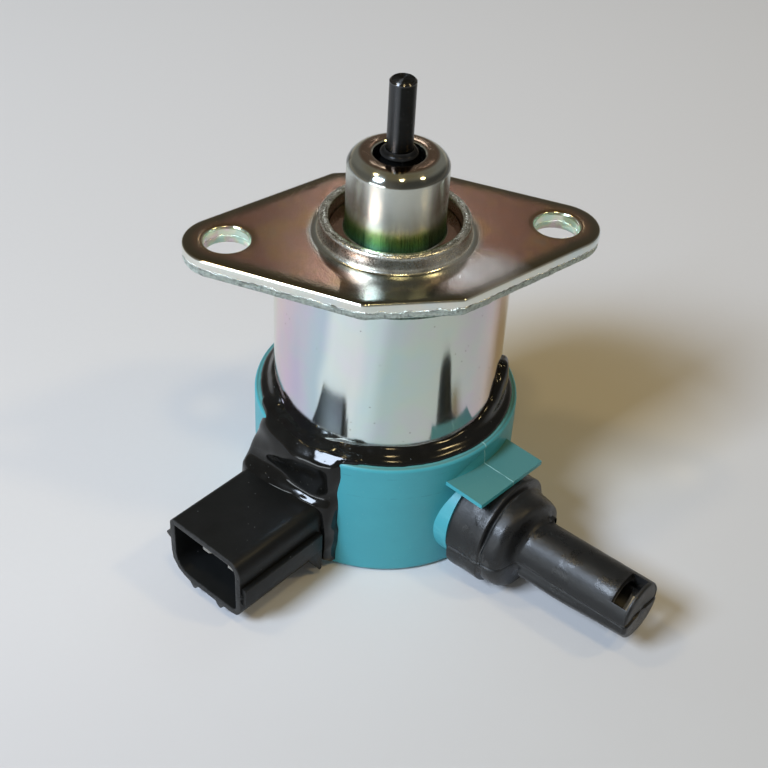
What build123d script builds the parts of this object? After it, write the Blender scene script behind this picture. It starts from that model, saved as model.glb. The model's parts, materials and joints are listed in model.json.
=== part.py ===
from build123d import *
import os
from math import cos, radians, sin

# Fuel shutoff solenoid. Millimetres, +Z up along the push pin, origin where the pin's
# axis crosses the flange's mounting face. +X runs through the two flange holes and -Y is
# the side of the connector and the vent boot.

# Fits between the pieces
running_gap = 0.05
press_gap = 0.02
rest_gap = 0.02
rubber_gap = 0.1

# Mounting flange and its drawn collar
hole_spacing = 54.0
hole_radius = 3.75
tip_radius = 7.15
flange_thickness = 3.2
flange_flat_inset = 0.1
flat_half_length = 7.3
flat_corner_radius = 2.0
flange_edge_round = 0.45
hole_edge_round = 0.4
collar_inner_radius = 10.76
collar_wall = 1.55
collar_height = 3.17
collar_foot_round = 1.0
collar_lip_round = 0.25

# Guide nose
nose_radius = 8.18
nose_height = 14.5
nose_shoulder_round = 2.4
nose_foot_height = 0.8
mouth_radius = 4.06
mouth_depth = 8.5
mouth_edge_round = 0.3
nose_spigot_radius = 9.0

# Push pin and its guide
pin_radius = 2.12
pin_height = 26.9
pin_chamfer = 0.35
pin_grip_length = 4.5
seal_seat_width = 0.44
seal_height = 3.0
seal_lip_depth = 1.2
seal_body_wall = 0.7
retainer_thickness = 0.6
retainer_bore_gap = 0.45

# Case and pole pieces
case_radius = 19.6
case_wall = 1.6
case_tail_length = 2.0
case_lip_chamfer = 0.4
front_plate_thickness = 3.0
rear_plate_thickness = 3.0

# Plunger, sleeve and fixed core
plunger_radius = 7.0
plunger_length = 13.0
plunger_chamfer = 0.5
plunger_web = 0.5
plunger_travel = 9.5
pole_gap = 0.2
core_length = 10.08
sleeve_wall = 0.5
vent_flat_depth = 0.7

# Return spring
spring_wire_radius = 0.5
spring_mean_radius = 3.9
spring_turns = 6
spring_pocket_gap = 0.3
core_pocket_depth = 4.55

# Bobbin and windings
bobbin_wall = 1.0
bobbin_flange_thickness = 1.2
bobbin_flange_gap = 0.35
winding_margin = 1.32
pull_winding_share = 0.5
wrap_thickness = 0.5
bobbin_end_gap = 0.05

# Switch that drops out the pull winding at the end of the travel
rod_radius = 1.2
rod_end_gap = 0.25
rod_collar_radius = 2.4
rod_collar_height = 1.0
rod_tail_length = 1.6
bridge_overhang = 2.5
bridge_width = 6.0
bridge_thickness = 1.2
contact_spacing = 13.0
contact_shank_radius = 1.8
contact_head_radius = 2.8
contact_head_height = 1.0
contact_travel = 1.0
carrier_thickness = 3.0
carrier_edge_gap = 0.2
carrier_bore_radius = 2.5
contact_spring_wire_radius = 0.35
contact_spring_mean_radius = 2.35
contact_spring_turns = 4
spring_boss_gap = 0.3
spring_boss_height = 1.0

# Moulded end cup
sealant_channel = 1.9
cup_wall = 1.55
cup_overlap = 9.7
switch_room = 12.2
cup_floor_thickness = 2.0
cup_foot_round = 1.1
cup_rim_round = 0.7
sealant_pocket_depth = 5.7
case_ledge_width = 1.3
tab_azimuth = -52.5
tab_gap = 0.15
tab_thickness = 0.8
tab_width = 15.6
tab_length = 6.45

# Vent spigot and boot, along one level axis beside the pin's axis
boot_azimuth = -49.0
boot_side_offset = -2.0
boot_floor_gap = 0.05
spigot_boss_radius = 8.6
spigot_boss_length = 0.15
spigot_radius = 5.4
spigot_length = 9.2
spigot_wall = 2.2
spigot_barb_height = 0.5
spigot_barb_length = 2.0
cuff_gap = 0.2
cuff_radius = 9.4
cuff_edge_round = 0.7
cuff_length = 6.9
groove_width = 0.8
groove_depth = 0.95
bulge_length = 4.8
bulge_foot_radius = 5.7
tube_radius = 4.92
tube_wall = 1.62
boot_length = 33.6
boot_end_round = 0.6
slot_width = 6.4
slot_length = 2.9
slot_setback = 0.9
slot_turn = 16.5

# Sealant
sealant_climb = 2.0
sealant_rim_cover = 0.65
sealant_skin = 1.2
sealant_edge_round = 0.8
sealant_start_azimuth = -166.0
sealant_end_azimuth = -116.5
sealant_foot_gap = 0.7
sealant_rim_lift = 0.9

# Connector housing and its blades
connector_azimuth = -140.0
connector_side_offset = -0.8
connector_width = 16.5
connector_drop = 5.35
connector_height = 12.2
connector_length = 20.0
connector_wall = 1.1
socket_depth = 12.0
corner_top_left = 1.2
corner_top_right = 2.6
corner_low_left = 4.5
corner_low_right = 2.2
side_rib_height = 0.95
side_rib_width = 1.7
side_rib_drop = 3.1
low_rib_height = 1.1
low_rib_width = 2.1
low_rib_spacing = 6.3
rail_width = 1.0
rail_height = 3.7
rail_drop = 5.1
rail_setback = 0.4
rail_standoff = 1.75
gusset_length = 3.3
gusset_drop = 4.5
plug_margin = 1.1
plug_height = 7.0
blade_width = 2.8
blade_thickness = 0.8
blade_spacing = 6.0
blade_tip_setback = 3.0
blade_riser_setback = 5.8

# Levels worked out from the sizes above
flange_half_depth = case_radius - flange_flat_inset
collar_outer_radius = collar_inner_radius + collar_wall
flange_bottom = -flange_thickness
front_plate_bottom = flange_bottom - front_plate_thickness
seal_seat = nose_height - mouth_depth
bush_radius = mouth_radius - seal_seat_width
plunger_top = front_plate_bottom - rest_gap
plunger_bottom = plunger_top - plunger_length
plunger_bore_end = plunger_top - pin_grip_length - plunger_web
core_top = plunger_bottom - plunger_travel - pole_gap
core_pocket_end = core_top - core_pocket_depth
rear_plate_bottom = core_top - core_length
rear_plate_top = rear_plate_bottom + rear_plate_thickness
case_bottom = rear_plate_bottom - case_tail_length
case_inner_radius = case_radius - case_wall
spring_pocket_radius = spring_mean_radius + spring_wire_radius + spring_pocket_gap
sleeve_inner_radius = plunger_radius + running_gap
sleeve_outer_radius = sleeve_inner_radius + sleeve_wall
bobbin_inner_radius = sleeve_outer_radius + press_gap
bobbin_outer_radius = bobbin_inner_radius + bobbin_wall
bobbin_top = front_plate_bottom - bobbin_end_gap
bobbin_bottom = rear_plate_top + bobbin_end_gap
winding_top = bobbin_top - bobbin_flange_thickness - bobbin_end_gap
winding_bottom = bobbin_bottom + bobbin_flange_thickness + bobbin_end_gap
bobbin_flange_radius = case_inner_radius - bobbin_flange_gap
wrap_outer_radius = bobbin_flange_radius - winding_margin
wrap_inner_radius = wrap_outer_radius - wrap_thickness
hold_outer_radius = wrap_inner_radius - press_gap
pull_inner_radius = bobbin_outer_radius + press_gap
pull_outer_radius = pull_inner_radius + (hold_outer_radius - pull_inner_radius) * pull_winding_share
hold_inner_radius = pull_outer_radius + press_gap
carrier_radius = case_inner_radius - carrier_edge_gap
carrier_bottom = rear_plate_bottom - carrier_thickness
contact_face = carrier_bottom - contact_head_height
bridge_top = contact_face - rest_gap
bridge_bottom = bridge_top - bridge_thickness
rod_top = plunger_bore_end - plunger_travel - rod_end_gap
rod_collar_bottom = bridge_bottom - rod_collar_height
bridge_length = contact_spacing + 2 * bridge_overhang
spring_boss_radius = contact_spring_mean_radius - contact_spring_wire_radius - spring_boss_gap
cup_pocket_radius = case_radius + sealant_channel
cup_radius = cup_pocket_radius + cup_wall
cup_top = case_bottom + cup_overlap
cup_inside_floor = case_bottom - switch_room
cup_floor = cup_inside_floor - cup_floor_thickness
cup_bore_radius = case_radius + running_gap
cup_pocket_bottom = cup_top - sealant_pocket_depth
chamber_radius = cup_bore_radius - case_ledge_width
boot_height = cup_floor + boot_floor_gap + cuff_radius
tab_top = boot_height + cuff_radius + tab_gap + tab_thickness
tab_reach = cup_radius + tab_length
spigot_boss_reach = cup_radius + spigot_boss_length
spigot_reach = spigot_boss_reach + spigot_length
spigot_bore_radius = spigot_radius - spigot_wall
cuff_start = spigot_boss_reach + cuff_gap
cuff_end = cuff_start + cuff_length
bulge_start = cuff_end + groove_width
bulge_end = bulge_start + bulge_length
boot_end = cuff_start + boot_length
tube_bore_radius = tube_radius - tube_wall
connector_middle = case_bottom - connector_drop
connector_top = connector_middle + connector_height / 2
connector_bottom = connector_middle - connector_height / 2
connector_mouth = cup_radius + connector_length
rail_rear = cup_radius + rail_standoff
connector_left = connector_side_offset - connector_width / 2
connector_right = connector_side_offset + connector_width / 2
plug_width = blade_spacing + blade_width + 2 * plug_margin
blade_inner_reach = carrier_radius - blade_riser_setback


def ring(outer, inner, low, high):
    """A plain ring about the pin's axis, or a disc where inner is zero."""
    body = Pos(0, 0, low) * extrude(Circle(outer), high - low)
    if inner > 0:
        body -= Pos(0, 0, low) * extrude(Circle(inner), high - low)
    return body


def turned(points):
    """A solid turned about Z from (radius, height) points."""
    outline = Plane.XZ * make_face(Polyline(points, close=True))
    return revolve(outline, Axis.Z)


def side_plane(azimuth, reach=0.0):
    """A plane that faces outwards at an azimuth: its x runs sideways and its y runs up."""
    outward = Vector(cos(radians(azimuth)), sin(radians(azimuth)), 0)
    sideways = Vector(-sin(radians(azimuth)), cos(radians(azimuth)), 0)
    return Plane(origin=outward * reach, x_dir=sideways, z_dir=outward)


def block(azimuth, reach, side, height):
    """A box from three (low, high) pairs: outwards, sideways and up."""
    outline = Pos((side[0] + side[1]) / 2, (height[0] + height[1]) / 2) * Rectangle(
        side[1] - side[0], height[1] - height[0])
    return extrude(side_plane(azimuth, reach[0]) * outline, reach[1] - reach[0])


def boot_axis_turned(points):
    """A solid turned about the vent boot's axis from (reach, radius) points."""
    axis_plane = side_plane(boot_azimuth) * Pos(boot_side_offset, boot_height)
    outline = make_face(Polyline([(radius, reach) for reach, radius in points], close=True))
    body = revolve(Plane.XZ * outline, Axis.Z)
    return axis_plane * body


def edges_at(body, radius, height, tolerance=0.01):
    """The full circles about the pin's axis with this radius and height."""
    rims = body.edges().filter_by(GeomType.CIRCLE)
    return ShapeList([e for e in rims if abs(e.radius - radius) < tolerance
                      and abs(e.center().Z - height) < tolerance
                      and Vector(e.arc_center.X, e.arc_center.Y, 0).length < tolerance])


def flange_outline():
    """Two round lugs joined by straight sides to a middle with two flats."""
    lugs = [Pos(side * hole_spacing / 2, 0) * Circle(tip_radius) for side in (-1, 1)]
    corner_y = flange_half_depth - flat_corner_radius
    corners = [Pos(x * flat_half_length, y * corner_y) * Circle(flat_corner_radius)
               for x in (-1, 1) for y in (-1, 1)]
    edges = [edge for face in lugs + corners for edge in face.edges()]
    return make_hull(edges)


def make_flange():
    plate = Pos(0, 0, flange_bottom) * extrude(flange_outline(), flange_thickness)
    outer_edges = plate.edges().group_by(Axis.Z)[-1]
    plate = fillet(outer_edges, flange_edge_round)
    plate += ring(collar_outer_radius, 0, flange_bottom, collar_height)
    plate = fillet(edges_at(plate, collar_outer_radius, 0.0), collar_foot_round)
    plate -= ring(collar_inner_radius, 0, flange_bottom, collar_height)
    lip = edges_at(plate, collar_outer_radius, collar_height)
    lip += edges_at(plate, collar_inner_radius, collar_height)
    plate = fillet(lip, collar_lip_round)
    for side in (-1, 1):
        plate -= Pos(side * hole_spacing / 2, 0, flange_bottom) * extrude(
            Circle(hole_radius), flange_thickness)
    rims = plate.edges().filter_by(GeomType.CIRCLE)
    hole_rims = [e for e in rims if abs(e.radius - hole_radius) < 0.01 and abs(e.center().Z) < 0.01]
    return fillet(hole_rims, hole_edge_round)


def make_nose():
    foot_radius = collar_inner_radius - running_gap
    nose = ring(nose_radius, 0, nose_foot_height, nose_height)
    nose = fillet(edges_at(nose, nose_radius, nose_height), nose_shoulder_round)
    nose += ring(foot_radius, 0, flange_bottom, nose_foot_height)
    nose += ring(nose_spigot_radius, 0, front_plate_bottom, flange_bottom)
    nose -= ring(mouth_radius, 0, seal_seat, nose_height)
    nose = fillet(edges_at(nose, mouth_radius, nose_height), mouth_edge_round)
    return nose - ring(bush_radius, 0, front_plate_bottom, seal_seat)


def make_bush():
    return ring(bush_radius - press_gap, pin_radius + running_gap, front_plate_bottom + rest_gap, seal_seat)


def make_seal():
    """A rubber ring with a thin lip that leans towards the pin."""
    outer = mouth_radius - press_gap
    lip = pin_radius + running_gap
    body = outer - seal_body_wall
    low = seal_seat
    high = seal_seat + seal_height
    return turned([(outer, low), (outer, high), (body, high), (lip, high - seal_lip_depth),
                   (lip, high - 2 * seal_lip_depth), (body, low + seal_lip_depth / 2), (body, low)])


def make_retainer():
    low = seal_seat + seal_height
    return ring(mouth_radius - press_gap, pin_radius + retainer_bore_gap, low, low + retainer_thickness)


def make_pin():
    bottom = plunger_top - pin_grip_length
    pin = ring(pin_radius, 0, bottom, pin_height)
    return chamfer(edges_at(pin, pin_radius, pin_height), pin_chamfer)


def make_plunger():
    """The armature: a bore below for the spring, a blind hole above for the pin and two
    flats that let air past it."""
    plunger = ring(plunger_radius, 0, plunger_bottom, plunger_top)
    rims = edges_at(plunger, plunger_radius, plunger_top) + edges_at(plunger, plunger_radius, plunger_bottom)
    plunger = chamfer(rims, plunger_chamfer)
    plunger -= ring(spring_pocket_radius, 0, plunger_bottom, plunger_bore_end)
    plunger -= ring(pin_radius, 0, plunger_top - pin_grip_length, plunger_top)
    flat = plunger_radius - vent_flat_depth
    for side in (-1, 1):
        plunger -= Pos(side * (flat + plunger_radius / 2), 0, (plunger_top + plunger_bottom) / 2) * Box(
            plunger_radius, 2 * plunger_radius, plunger_length)
    return plunger


def make_front_plate():
    return ring(case_inner_radius - press_gap, nose_spigot_radius + press_gap,
                front_plate_bottom, flange_bottom - rest_gap)


def make_sleeve():
    return ring(sleeve_outer_radius, sleeve_inner_radius, rear_plate_top + rest_gap,
                front_plate_bottom - rest_gap)


def make_core():
    """The fixed pole: a spring pocket above, and a bore for the switch rod."""
    core = ring(plunger_radius, 0, rear_plate_bottom, core_top)
    core = chamfer(edges_at(core, plunger_radius, core_top), plunger_chamfer)
    core -= ring(spring_pocket_radius, 0, core_pocket_end, core_top)
    return core - ring(rod_radius + running_gap, 0, rear_plate_bottom, core_pocket_end)


def make_rear_plate():
    return ring(case_inner_radius - press_gap, plunger_radius + press_gap,
                rear_plate_bottom, rear_plate_top)


def make_case():
    case = ring(case_radius, case_inner_radius, case_bottom, flange_bottom - rest_gap)
    return chamfer(edges_at(case, case_radius, case_bottom), case_lip_chamfer)


def make_bobbin():
    spool = ring(bobbin_outer_radius, bobbin_inner_radius, bobbin_bottom, bobbin_top)
    for low in (bobbin_bottom, bobbin_top - bobbin_flange_thickness):
        spool += ring(bobbin_flange_radius, bobbin_inner_radius, low, low + bobbin_flange_thickness)
    return spool


def make_pull_coil():
    return ring(pull_outer_radius, pull_inner_radius, winding_bottom, winding_top)


def make_hold_coil():
    return ring(hold_outer_radius, hold_inner_radius, winding_bottom, winding_top)


def make_coil_wrap():
    return ring(wrap_outer_radius, wrap_inner_radius, winding_bottom, winding_top)


def coil_spring(mean_radius, wire_radius, turns, low, high):
    """A round-wire compression spring between two levels."""
    rise = high - low - 2 * wire_radius
    path = Pos(0, 0, low + wire_radius) * Helix(rise / turns, rise, mean_radius)
    wire = Plane(origin=path @ 0, z_dir=path % 0) * Circle(wire_radius)
    spring = sweep(wire, path=path, is_frenet=True)
    return spring


def make_return_spring():
    return coil_spring(spring_mean_radius, spring_wire_radius, spring_turns,
                       core_pocket_end + 3 * rest_gap, plunger_bore_end - 3 * rest_gap)


def make_contact_spring():
    return coil_spring(contact_spring_mean_radius, contact_spring_wire_radius, contact_spring_turns,
                       cup_inside_floor + 3 * rest_gap, rod_collar_bottom - 3 * rest_gap)


def contact_place(side):
    """A fixed contact's place, level with the connector's width."""
    return side_plane(connector_azimuth).x_dir * (side * contact_spacing / 2)


def make_carrier():
    """The moulded plate that holds the two fixed contacts."""
    carrier = ring(carrier_radius, carrier_bore_radius, carrier_bottom, rear_plate_bottom - rest_gap)
    for side in (-1, 1):
        place = contact_place(side)
        carrier -= Pos(place.X, place.Y, 0) * ring(contact_shank_radius + press_gap, 0,
                                                  carrier_bottom, rear_plate_bottom)
    return carrier


def make_fixed_contact(side):
    """A rivet with its head below the carrier."""
    place = contact_place(side)
    rivet = ring(contact_shank_radius, 0, contact_face, rear_plate_bottom - 2 * rest_gap)
    rivet += ring(contact_head_radius, 0, contact_face, carrier_bottom - press_gap)
    return Pos(place.X, place.Y, 0) * rivet


def make_rod():
    rod = ring(rod_radius, 0, rod_collar_bottom - rod_tail_length, rod_top)
    return rod + ring(rod_collar_radius, 0, rod_collar_bottom, bridge_bottom)


def make_bridge():
    """The strip that joins the two fixed contacts until the rod pushes it down."""
    half_length = bridge_length / 2
    strip = block(connector_azimuth, (-bridge_width / 2, bridge_width / 2),
                  (-half_length, half_length), (bridge_bottom, bridge_top))
    return strip - ring(rod_radius, 0, bridge_bottom, bridge_top)


def blade_side(side):
    return connector_side_offset + side * blade_spacing / 2


def make_terminal(side):
    """A blade in the socket whose inner end turns up to the contact carrier."""
    middle = blade_side(side)
    across = (middle - blade_width / 2, middle + blade_width / 2)
    thick = (connector_middle - blade_thickness / 2, connector_middle + blade_thickness / 2)
    tip = connector_mouth - blade_tip_setback
    blade = block(connector_azimuth, (blade_inner_reach, tip), across, thick)
    outward = side_plane(connector_azimuth).z_dir
    tip_edges = blade.edges().filter_by(Axis.Z).sort_by(lambda edge: edge.center().dot(outward))[-2:]
    blade = chamfer(tip_edges, blade_width / 4)
    riser = block(connector_azimuth, (blade_inner_reach, blade_inner_reach + blade_thickness), across,
                  (thick[0], carrier_bottom - rest_gap))
    return blade + riser


def make_cup():
    """The moulded cup with its tab, and the boss and spigot of the vent."""
    cup = ring(cup_radius, 0, cup_floor, cup_top)
    cup = fillet(edges_at(cup, cup_radius, cup_floor), cup_foot_round)
    cup = fillet(edges_at(cup, cup_radius, cup_top), cup_rim_round)
    cup += cup_tab()
    start = chamber_radius
    cup += boot_axis_turned([(start, 0), (start, spigot_boss_radius),
                             (spigot_boss_reach, spigot_boss_radius), (spigot_boss_reach, 0)])
    barb = spigot_reach - spigot_barb_length
    cup += boot_axis_turned([(start, 0), (start, spigot_radius), (barb, spigot_radius),
                             (barb, spigot_radius + spigot_barb_height), (spigot_reach, spigot_radius),
                             (spigot_reach, 0)])
    cup -= ring(cup_pocket_radius, 0, cup_pocket_bottom, cup_top)
    cup -= ring(cup_bore_radius, 0, case_bottom, cup_pocket_bottom)
    cup -= ring(chamber_radius, 0, cup_inside_floor, case_bottom)
    cup -= boot_axis_turned([(0, 0), (0, spigot_bore_radius), (spigot_reach, spigot_bore_radius),
                             (spigot_reach, 0)])
    cup += ring(spring_boss_radius, 0, cup_inside_floor, cup_inside_floor + spring_boss_height)
    return cup - connector_plug(running_gap)


def cup_tab():
    """The flat tab that shades the top of the vent boot."""
    return block(tab_azimuth, (cup_pocket_radius, tab_reach), (-tab_width / 2, tab_width / 2),
                 (tab_top - tab_thickness, tab_top))


def connector_plug(margin):
    """The part of the housing that passes through the cup's wall."""
    half_width = plug_width / 2 + margin
    half_height = plug_height / 2 + margin
    return block(connector_azimuth, (chamber_radius - cup_wall, cup_radius + cup_wall),
                 (connector_side_offset - half_width, connector_side_offset + half_width),
                 (connector_middle - half_height, connector_middle + half_height))


def connector_outline(inset):
    """The housing's section, with four different corners, drawn inset from its outside."""
    left = connector_left + inset
    right = connector_right - inset
    low = connector_bottom + inset
    high = connector_top - inset
    smallest = 0.3
    radii = {
        (left, high): max(corner_top_left - inset, smallest),
        (right, high): max(corner_top_right - inset, smallest),
        (left, low): max(corner_low_left - inset, smallest),
        (right, low): max(corner_low_right - inset, smallest),
    }
    section = Pos((left + right) / 2, (low + high) / 2) * Rectangle(right - left, high - low)
    for (x, y), radius in radii.items():
        corner = [v for v in section.vertices() if abs(v.X - x) < 0.01 and abs(v.Y - y) < 0.01]
        section = fillet(corner, radius)
    return section


def wedge_rib(reach, foot_low, foot_high, outward):
    """A long rib with a triangular section; its foot runs between two section points."""
    points = [foot_low, outward, foot_high]
    section = make_face(Polyline(points, close=True))
    return extrude(side_plane(connector_azimuth, reach[0]) * section, reach[1] - reach[0])


def make_connector():
    root = cup_radius - cup_wall
    length = (root, connector_mouth)
    housing = extrude(side_plane(connector_azimuth, root) * connector_outline(0), connector_mouth - root)
    sunk = connector_wall / 2
    rib_top = connector_top - side_rib_drop
    housing += wedge_rib(length, (connector_left + sunk, rib_top - side_rib_width),
                         (connector_left + sunk, rib_top),
                         (connector_left - side_rib_height, rib_top - side_rib_width * 0.6))
    for side in (-1, 1):
        middle = connector_side_offset + side * low_rib_spacing / 2
        housing += wedge_rib(length, (middle - low_rib_width / 2, connector_bottom + sunk),
                             (middle + low_rib_width / 2, connector_bottom + sunk),
                             (middle, connector_bottom - low_rib_height))
    rail_top = connector_top - rail_drop
    housing += block(connector_azimuth, (rail_rear, connector_mouth - rail_setback),
                     (connector_right - sunk, connector_right + rail_width),
                     (rail_top - rail_height, rail_top))
    housing += connector_gusset(rail_top - rail_height)
    socket = extrude(side_plane(connector_azimuth, connector_mouth - socket_depth)
                     * connector_outline(connector_wall), socket_depth)
    housing -= socket
    housing -= ring(cup_radius + press_gap, 0, cup_floor, cup_top)
    housing += connector_plug(0) - ring(chamber_radius, 0, cup_floor, cup_top)
    for side in (-1, 1):
        middle = blade_side(side)
        half_width = blade_width / 2 + press_gap
        half_thick = blade_thickness / 2 + press_gap
        housing -= block(connector_azimuth, (0, connector_mouth), (middle - half_width, middle + half_width),
                         (connector_middle - half_thick, connector_middle + half_thick))
    return housing


def connector_gusset(top):
    """The three-cornered web that hangs below the rail's rear end."""
    outward = side_plane(connector_azimuth).z_dir
    sideways = side_plane(connector_azimuth).x_dir
    place = sideways * (connector_right - rail_width)
    face = Plane(origin=place, x_dir=outward, z_dir=sideways * -1)
    points = [(rail_rear, top - gusset_drop), (rail_rear, top + rail_height / 2),
              (rail_rear + gusset_length, top + rail_height / 2), (rail_rear + gusset_length, top)]
    return extrude(face * make_face(Polyline(points, close=True)), -2 * rail_width)


def make_boot():
    """The rubber boot: a cuff, a groove, a round bulge and a slotted tube."""
    outside = [(cuff_start, cuff_radius - cuff_edge_round), (cuff_start + cuff_edge_round, cuff_radius),
               (cuff_end, cuff_radius), (cuff_end + groove_width / 2, cuff_radius - groove_depth)]
    steps = 6
    drop = cuff_radius - groove_width / 4 - bulge_foot_radius
    for step in range(steps + 1):
        turn = radians(90 * step / steps)
        outside.append((bulge_start + bulge_length * sin(turn), bulge_foot_radius + drop * cos(turn)))
    outside += [(bulge_end + tube_radius * 0.12, tube_radius), (boot_end - boot_end_round, tube_radius),
                (boot_end, tube_radius - boot_end_round)]
    seat = spigot_radius + rubber_gap
    barb_seat = spigot_radius + spigot_barb_height + rubber_gap
    barb = spigot_reach - spigot_barb_length - rubber_gap
    bore_end = boot_end - slot_setback
    inside = [(boot_end, 0), (bore_end, 0), (bore_end, tube_bore_radius),
              (spigot_reach + rubber_gap, tube_bore_radius), (spigot_reach + rubber_gap, seat),
              (barb, barb_seat), (barb, seat), (cuff_start, seat)]
    boot = boot_axis_turned(outside + inside)
    slot = extrude(Pos(0, 0) * Rectangle(slot_width, 4 * tube_radius), slot_length)
    place = side_plane(boot_azimuth, bore_end - slot_length) * Pos(boot_side_offset, boot_height)
    return boot - place * Rot(0, 0, slot_turn) * slot


def sealant_ring():
    can = case_radius + press_gap
    pocket = cup_pocket_radius - press_gap
    low = cup_pocket_bottom + rest_gap
    rim = cup_top + rest_gap
    reach = cup_radius - sealant_rim_cover
    bead = rim + sealant_climb
    return turned([(can, low), (pocket, low), (pocket, rim), (reach, rim),
                   ((can + reach) / 2, rim + sealant_climb * 0.3),
                   (can + sealant_climb * 0.3, rim + sealant_climb * 0.55), (can, bead)])


def sector(inner, outer, low, high, start, end):
    """A stretch of a ring between two azimuths."""
    profile = Pos((inner + outer) / 2, 0, (low + high) / 2) * (Plane.XZ * Rectangle(outer - inner, high - low))
    return Rot(0, 0, start) * revolve(profile, Axis.Z, end - start)


def make_sealant():
    """The bead round the case, and the skin that runs down round the connector's root."""
    outer = cup_radius + sealant_skin
    lift = cup_top + sealant_rim_lift
    body = sealant_ring()
    skin = sector(cup_radius + press_gap, outer, cup_floor + sealant_foot_gap, lift,
                  sealant_start_azimuth, sealant_end_azimuth)
    skin = fillet(skin.faces().sort_by(lambda face: face.area)[-1].edges(), sealant_edge_round)
    over = sector(case_radius + press_gap, outer - sealant_skin / 2, cup_top + rest_gap, lift,
                  sealant_start_azimuth, sealant_end_azimuth)
    body += skin + over
    root = cup_radius - cup_wall
    grown = extrude(side_plane(connector_azimuth, root) * connector_outline(-press_gap), cup_wall * 5)
    body -= grown
    return body - make_connector()


def make_all():
    parts = {
        "mounting_flange": make_flange(),
        "guide_nose": make_nose(),
        "guide_bush": make_bush(),
        "pin_seal": make_seal(),
        "seal_retainer": make_retainer(),
        "push_pin": make_pin(),
        "plunger": make_plunger(),
        "return_spring": make_return_spring(),
        "guide_sleeve": make_sleeve(),
        "fixed_core": make_core(),
        "front_pole_plate": make_front_plate(),
        "rear_pole_plate": make_rear_plate(),
        "case_tube": make_case(),
        "bobbin": make_bobbin(),
        "pull_coil": make_pull_coil(),
        "hold_coil": make_hold_coil(),
        "coil_wrap": make_coil_wrap(),
        "contact_carrier": make_carrier(),
        "fixed_contact_a": make_fixed_contact(-1),
        "fixed_contact_b": make_fixed_contact(1),
        "contact_bridge": make_bridge(),
        "contact_rod": make_rod(),
        "contact_spring": make_contact_spring(),
        "end_cup": make_cup(),
        "sealant": make_sealant(),
        "connector_housing": make_connector(),
        "terminal_a": make_terminal(-1),
        "terminal_b": make_terminal(1),
        "vent_boot": make_boot(),
    }
    return parts


os.makedirs("parts", exist_ok=True)
for name, shape in make_all().items():
    shape.label = name
    export_step(shape, f"parts/{name}.step")
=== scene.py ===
import bpy
import bmesh
import math
from mathutils import Matrix, Vector, noise
from mathutils.geometry import delaunay_2d_cdt
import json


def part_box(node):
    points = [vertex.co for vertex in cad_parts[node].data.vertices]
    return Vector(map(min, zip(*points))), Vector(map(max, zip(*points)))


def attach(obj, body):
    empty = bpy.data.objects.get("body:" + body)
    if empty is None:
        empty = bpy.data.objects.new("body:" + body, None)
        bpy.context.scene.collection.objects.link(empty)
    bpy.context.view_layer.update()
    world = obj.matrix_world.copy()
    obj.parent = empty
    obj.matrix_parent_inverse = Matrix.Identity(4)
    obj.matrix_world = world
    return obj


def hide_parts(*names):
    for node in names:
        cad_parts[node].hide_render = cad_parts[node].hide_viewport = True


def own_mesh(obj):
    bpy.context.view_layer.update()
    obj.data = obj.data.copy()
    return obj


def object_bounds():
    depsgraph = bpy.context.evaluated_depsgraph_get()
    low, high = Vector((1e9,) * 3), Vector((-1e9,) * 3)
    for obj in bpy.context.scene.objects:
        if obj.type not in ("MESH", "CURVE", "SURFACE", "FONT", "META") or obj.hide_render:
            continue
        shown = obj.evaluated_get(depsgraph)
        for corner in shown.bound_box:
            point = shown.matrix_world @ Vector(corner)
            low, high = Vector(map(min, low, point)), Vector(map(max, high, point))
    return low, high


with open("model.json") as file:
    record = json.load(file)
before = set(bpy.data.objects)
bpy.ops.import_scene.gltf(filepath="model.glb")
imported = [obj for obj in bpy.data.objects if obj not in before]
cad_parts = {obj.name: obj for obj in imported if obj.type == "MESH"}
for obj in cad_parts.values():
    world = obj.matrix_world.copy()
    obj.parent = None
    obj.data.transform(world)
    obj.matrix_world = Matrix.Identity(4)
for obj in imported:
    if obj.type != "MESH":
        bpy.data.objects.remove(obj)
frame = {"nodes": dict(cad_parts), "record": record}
cad_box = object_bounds()
nodes = frame["nodes"]
scene = bpy.context.scene
MM = 0.001

# Sizes and places of the CAD part, in millimetres and degrees
HOLE_X = 27.0
HOLE_RADIUS = 3.75
TIP_RADIUS = 7.15
CORNER_X = 7.3
CORNER_Y = 17.5
CORNER_RADIUS = 2.0
FLAT_Y = CORNER_Y + CORNER_RADIUS
FLANGE_BOTTOM = -3.2
COLLAR_BORE = 10.76
CUP_RADIUS = 23.05
TAB_AZIMUTH = -52.5
BOOT_AZIMUTH = -49.0
BOOT_SIDE = -2.0
BOOT_LEVEL = -45.75
CONNECTOR_AZIMUTH = -140.0
CONNECTOR_LEFT = -9.05
CONNECTOR_RIGHT = 7.45
CONNECTOR_TOP = -40.25
CONNECTOR_BOTTOM = -52.45
CONNECTOR_MOUTH = 43.05
FLOOR_LEVEL = -55.2


# Shader helpers
def fill_ramp(node, stops):
    """Gives a colour ramp its (position, colour) stops."""
    band = node.color_ramp
    while len(band.elements) < len(stops):
        band.elements.new(0.5)
    for element, (position, colour) in zip(band.elements, stops):
        element.position = position
        element.color = (*colour, 1.0)


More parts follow.
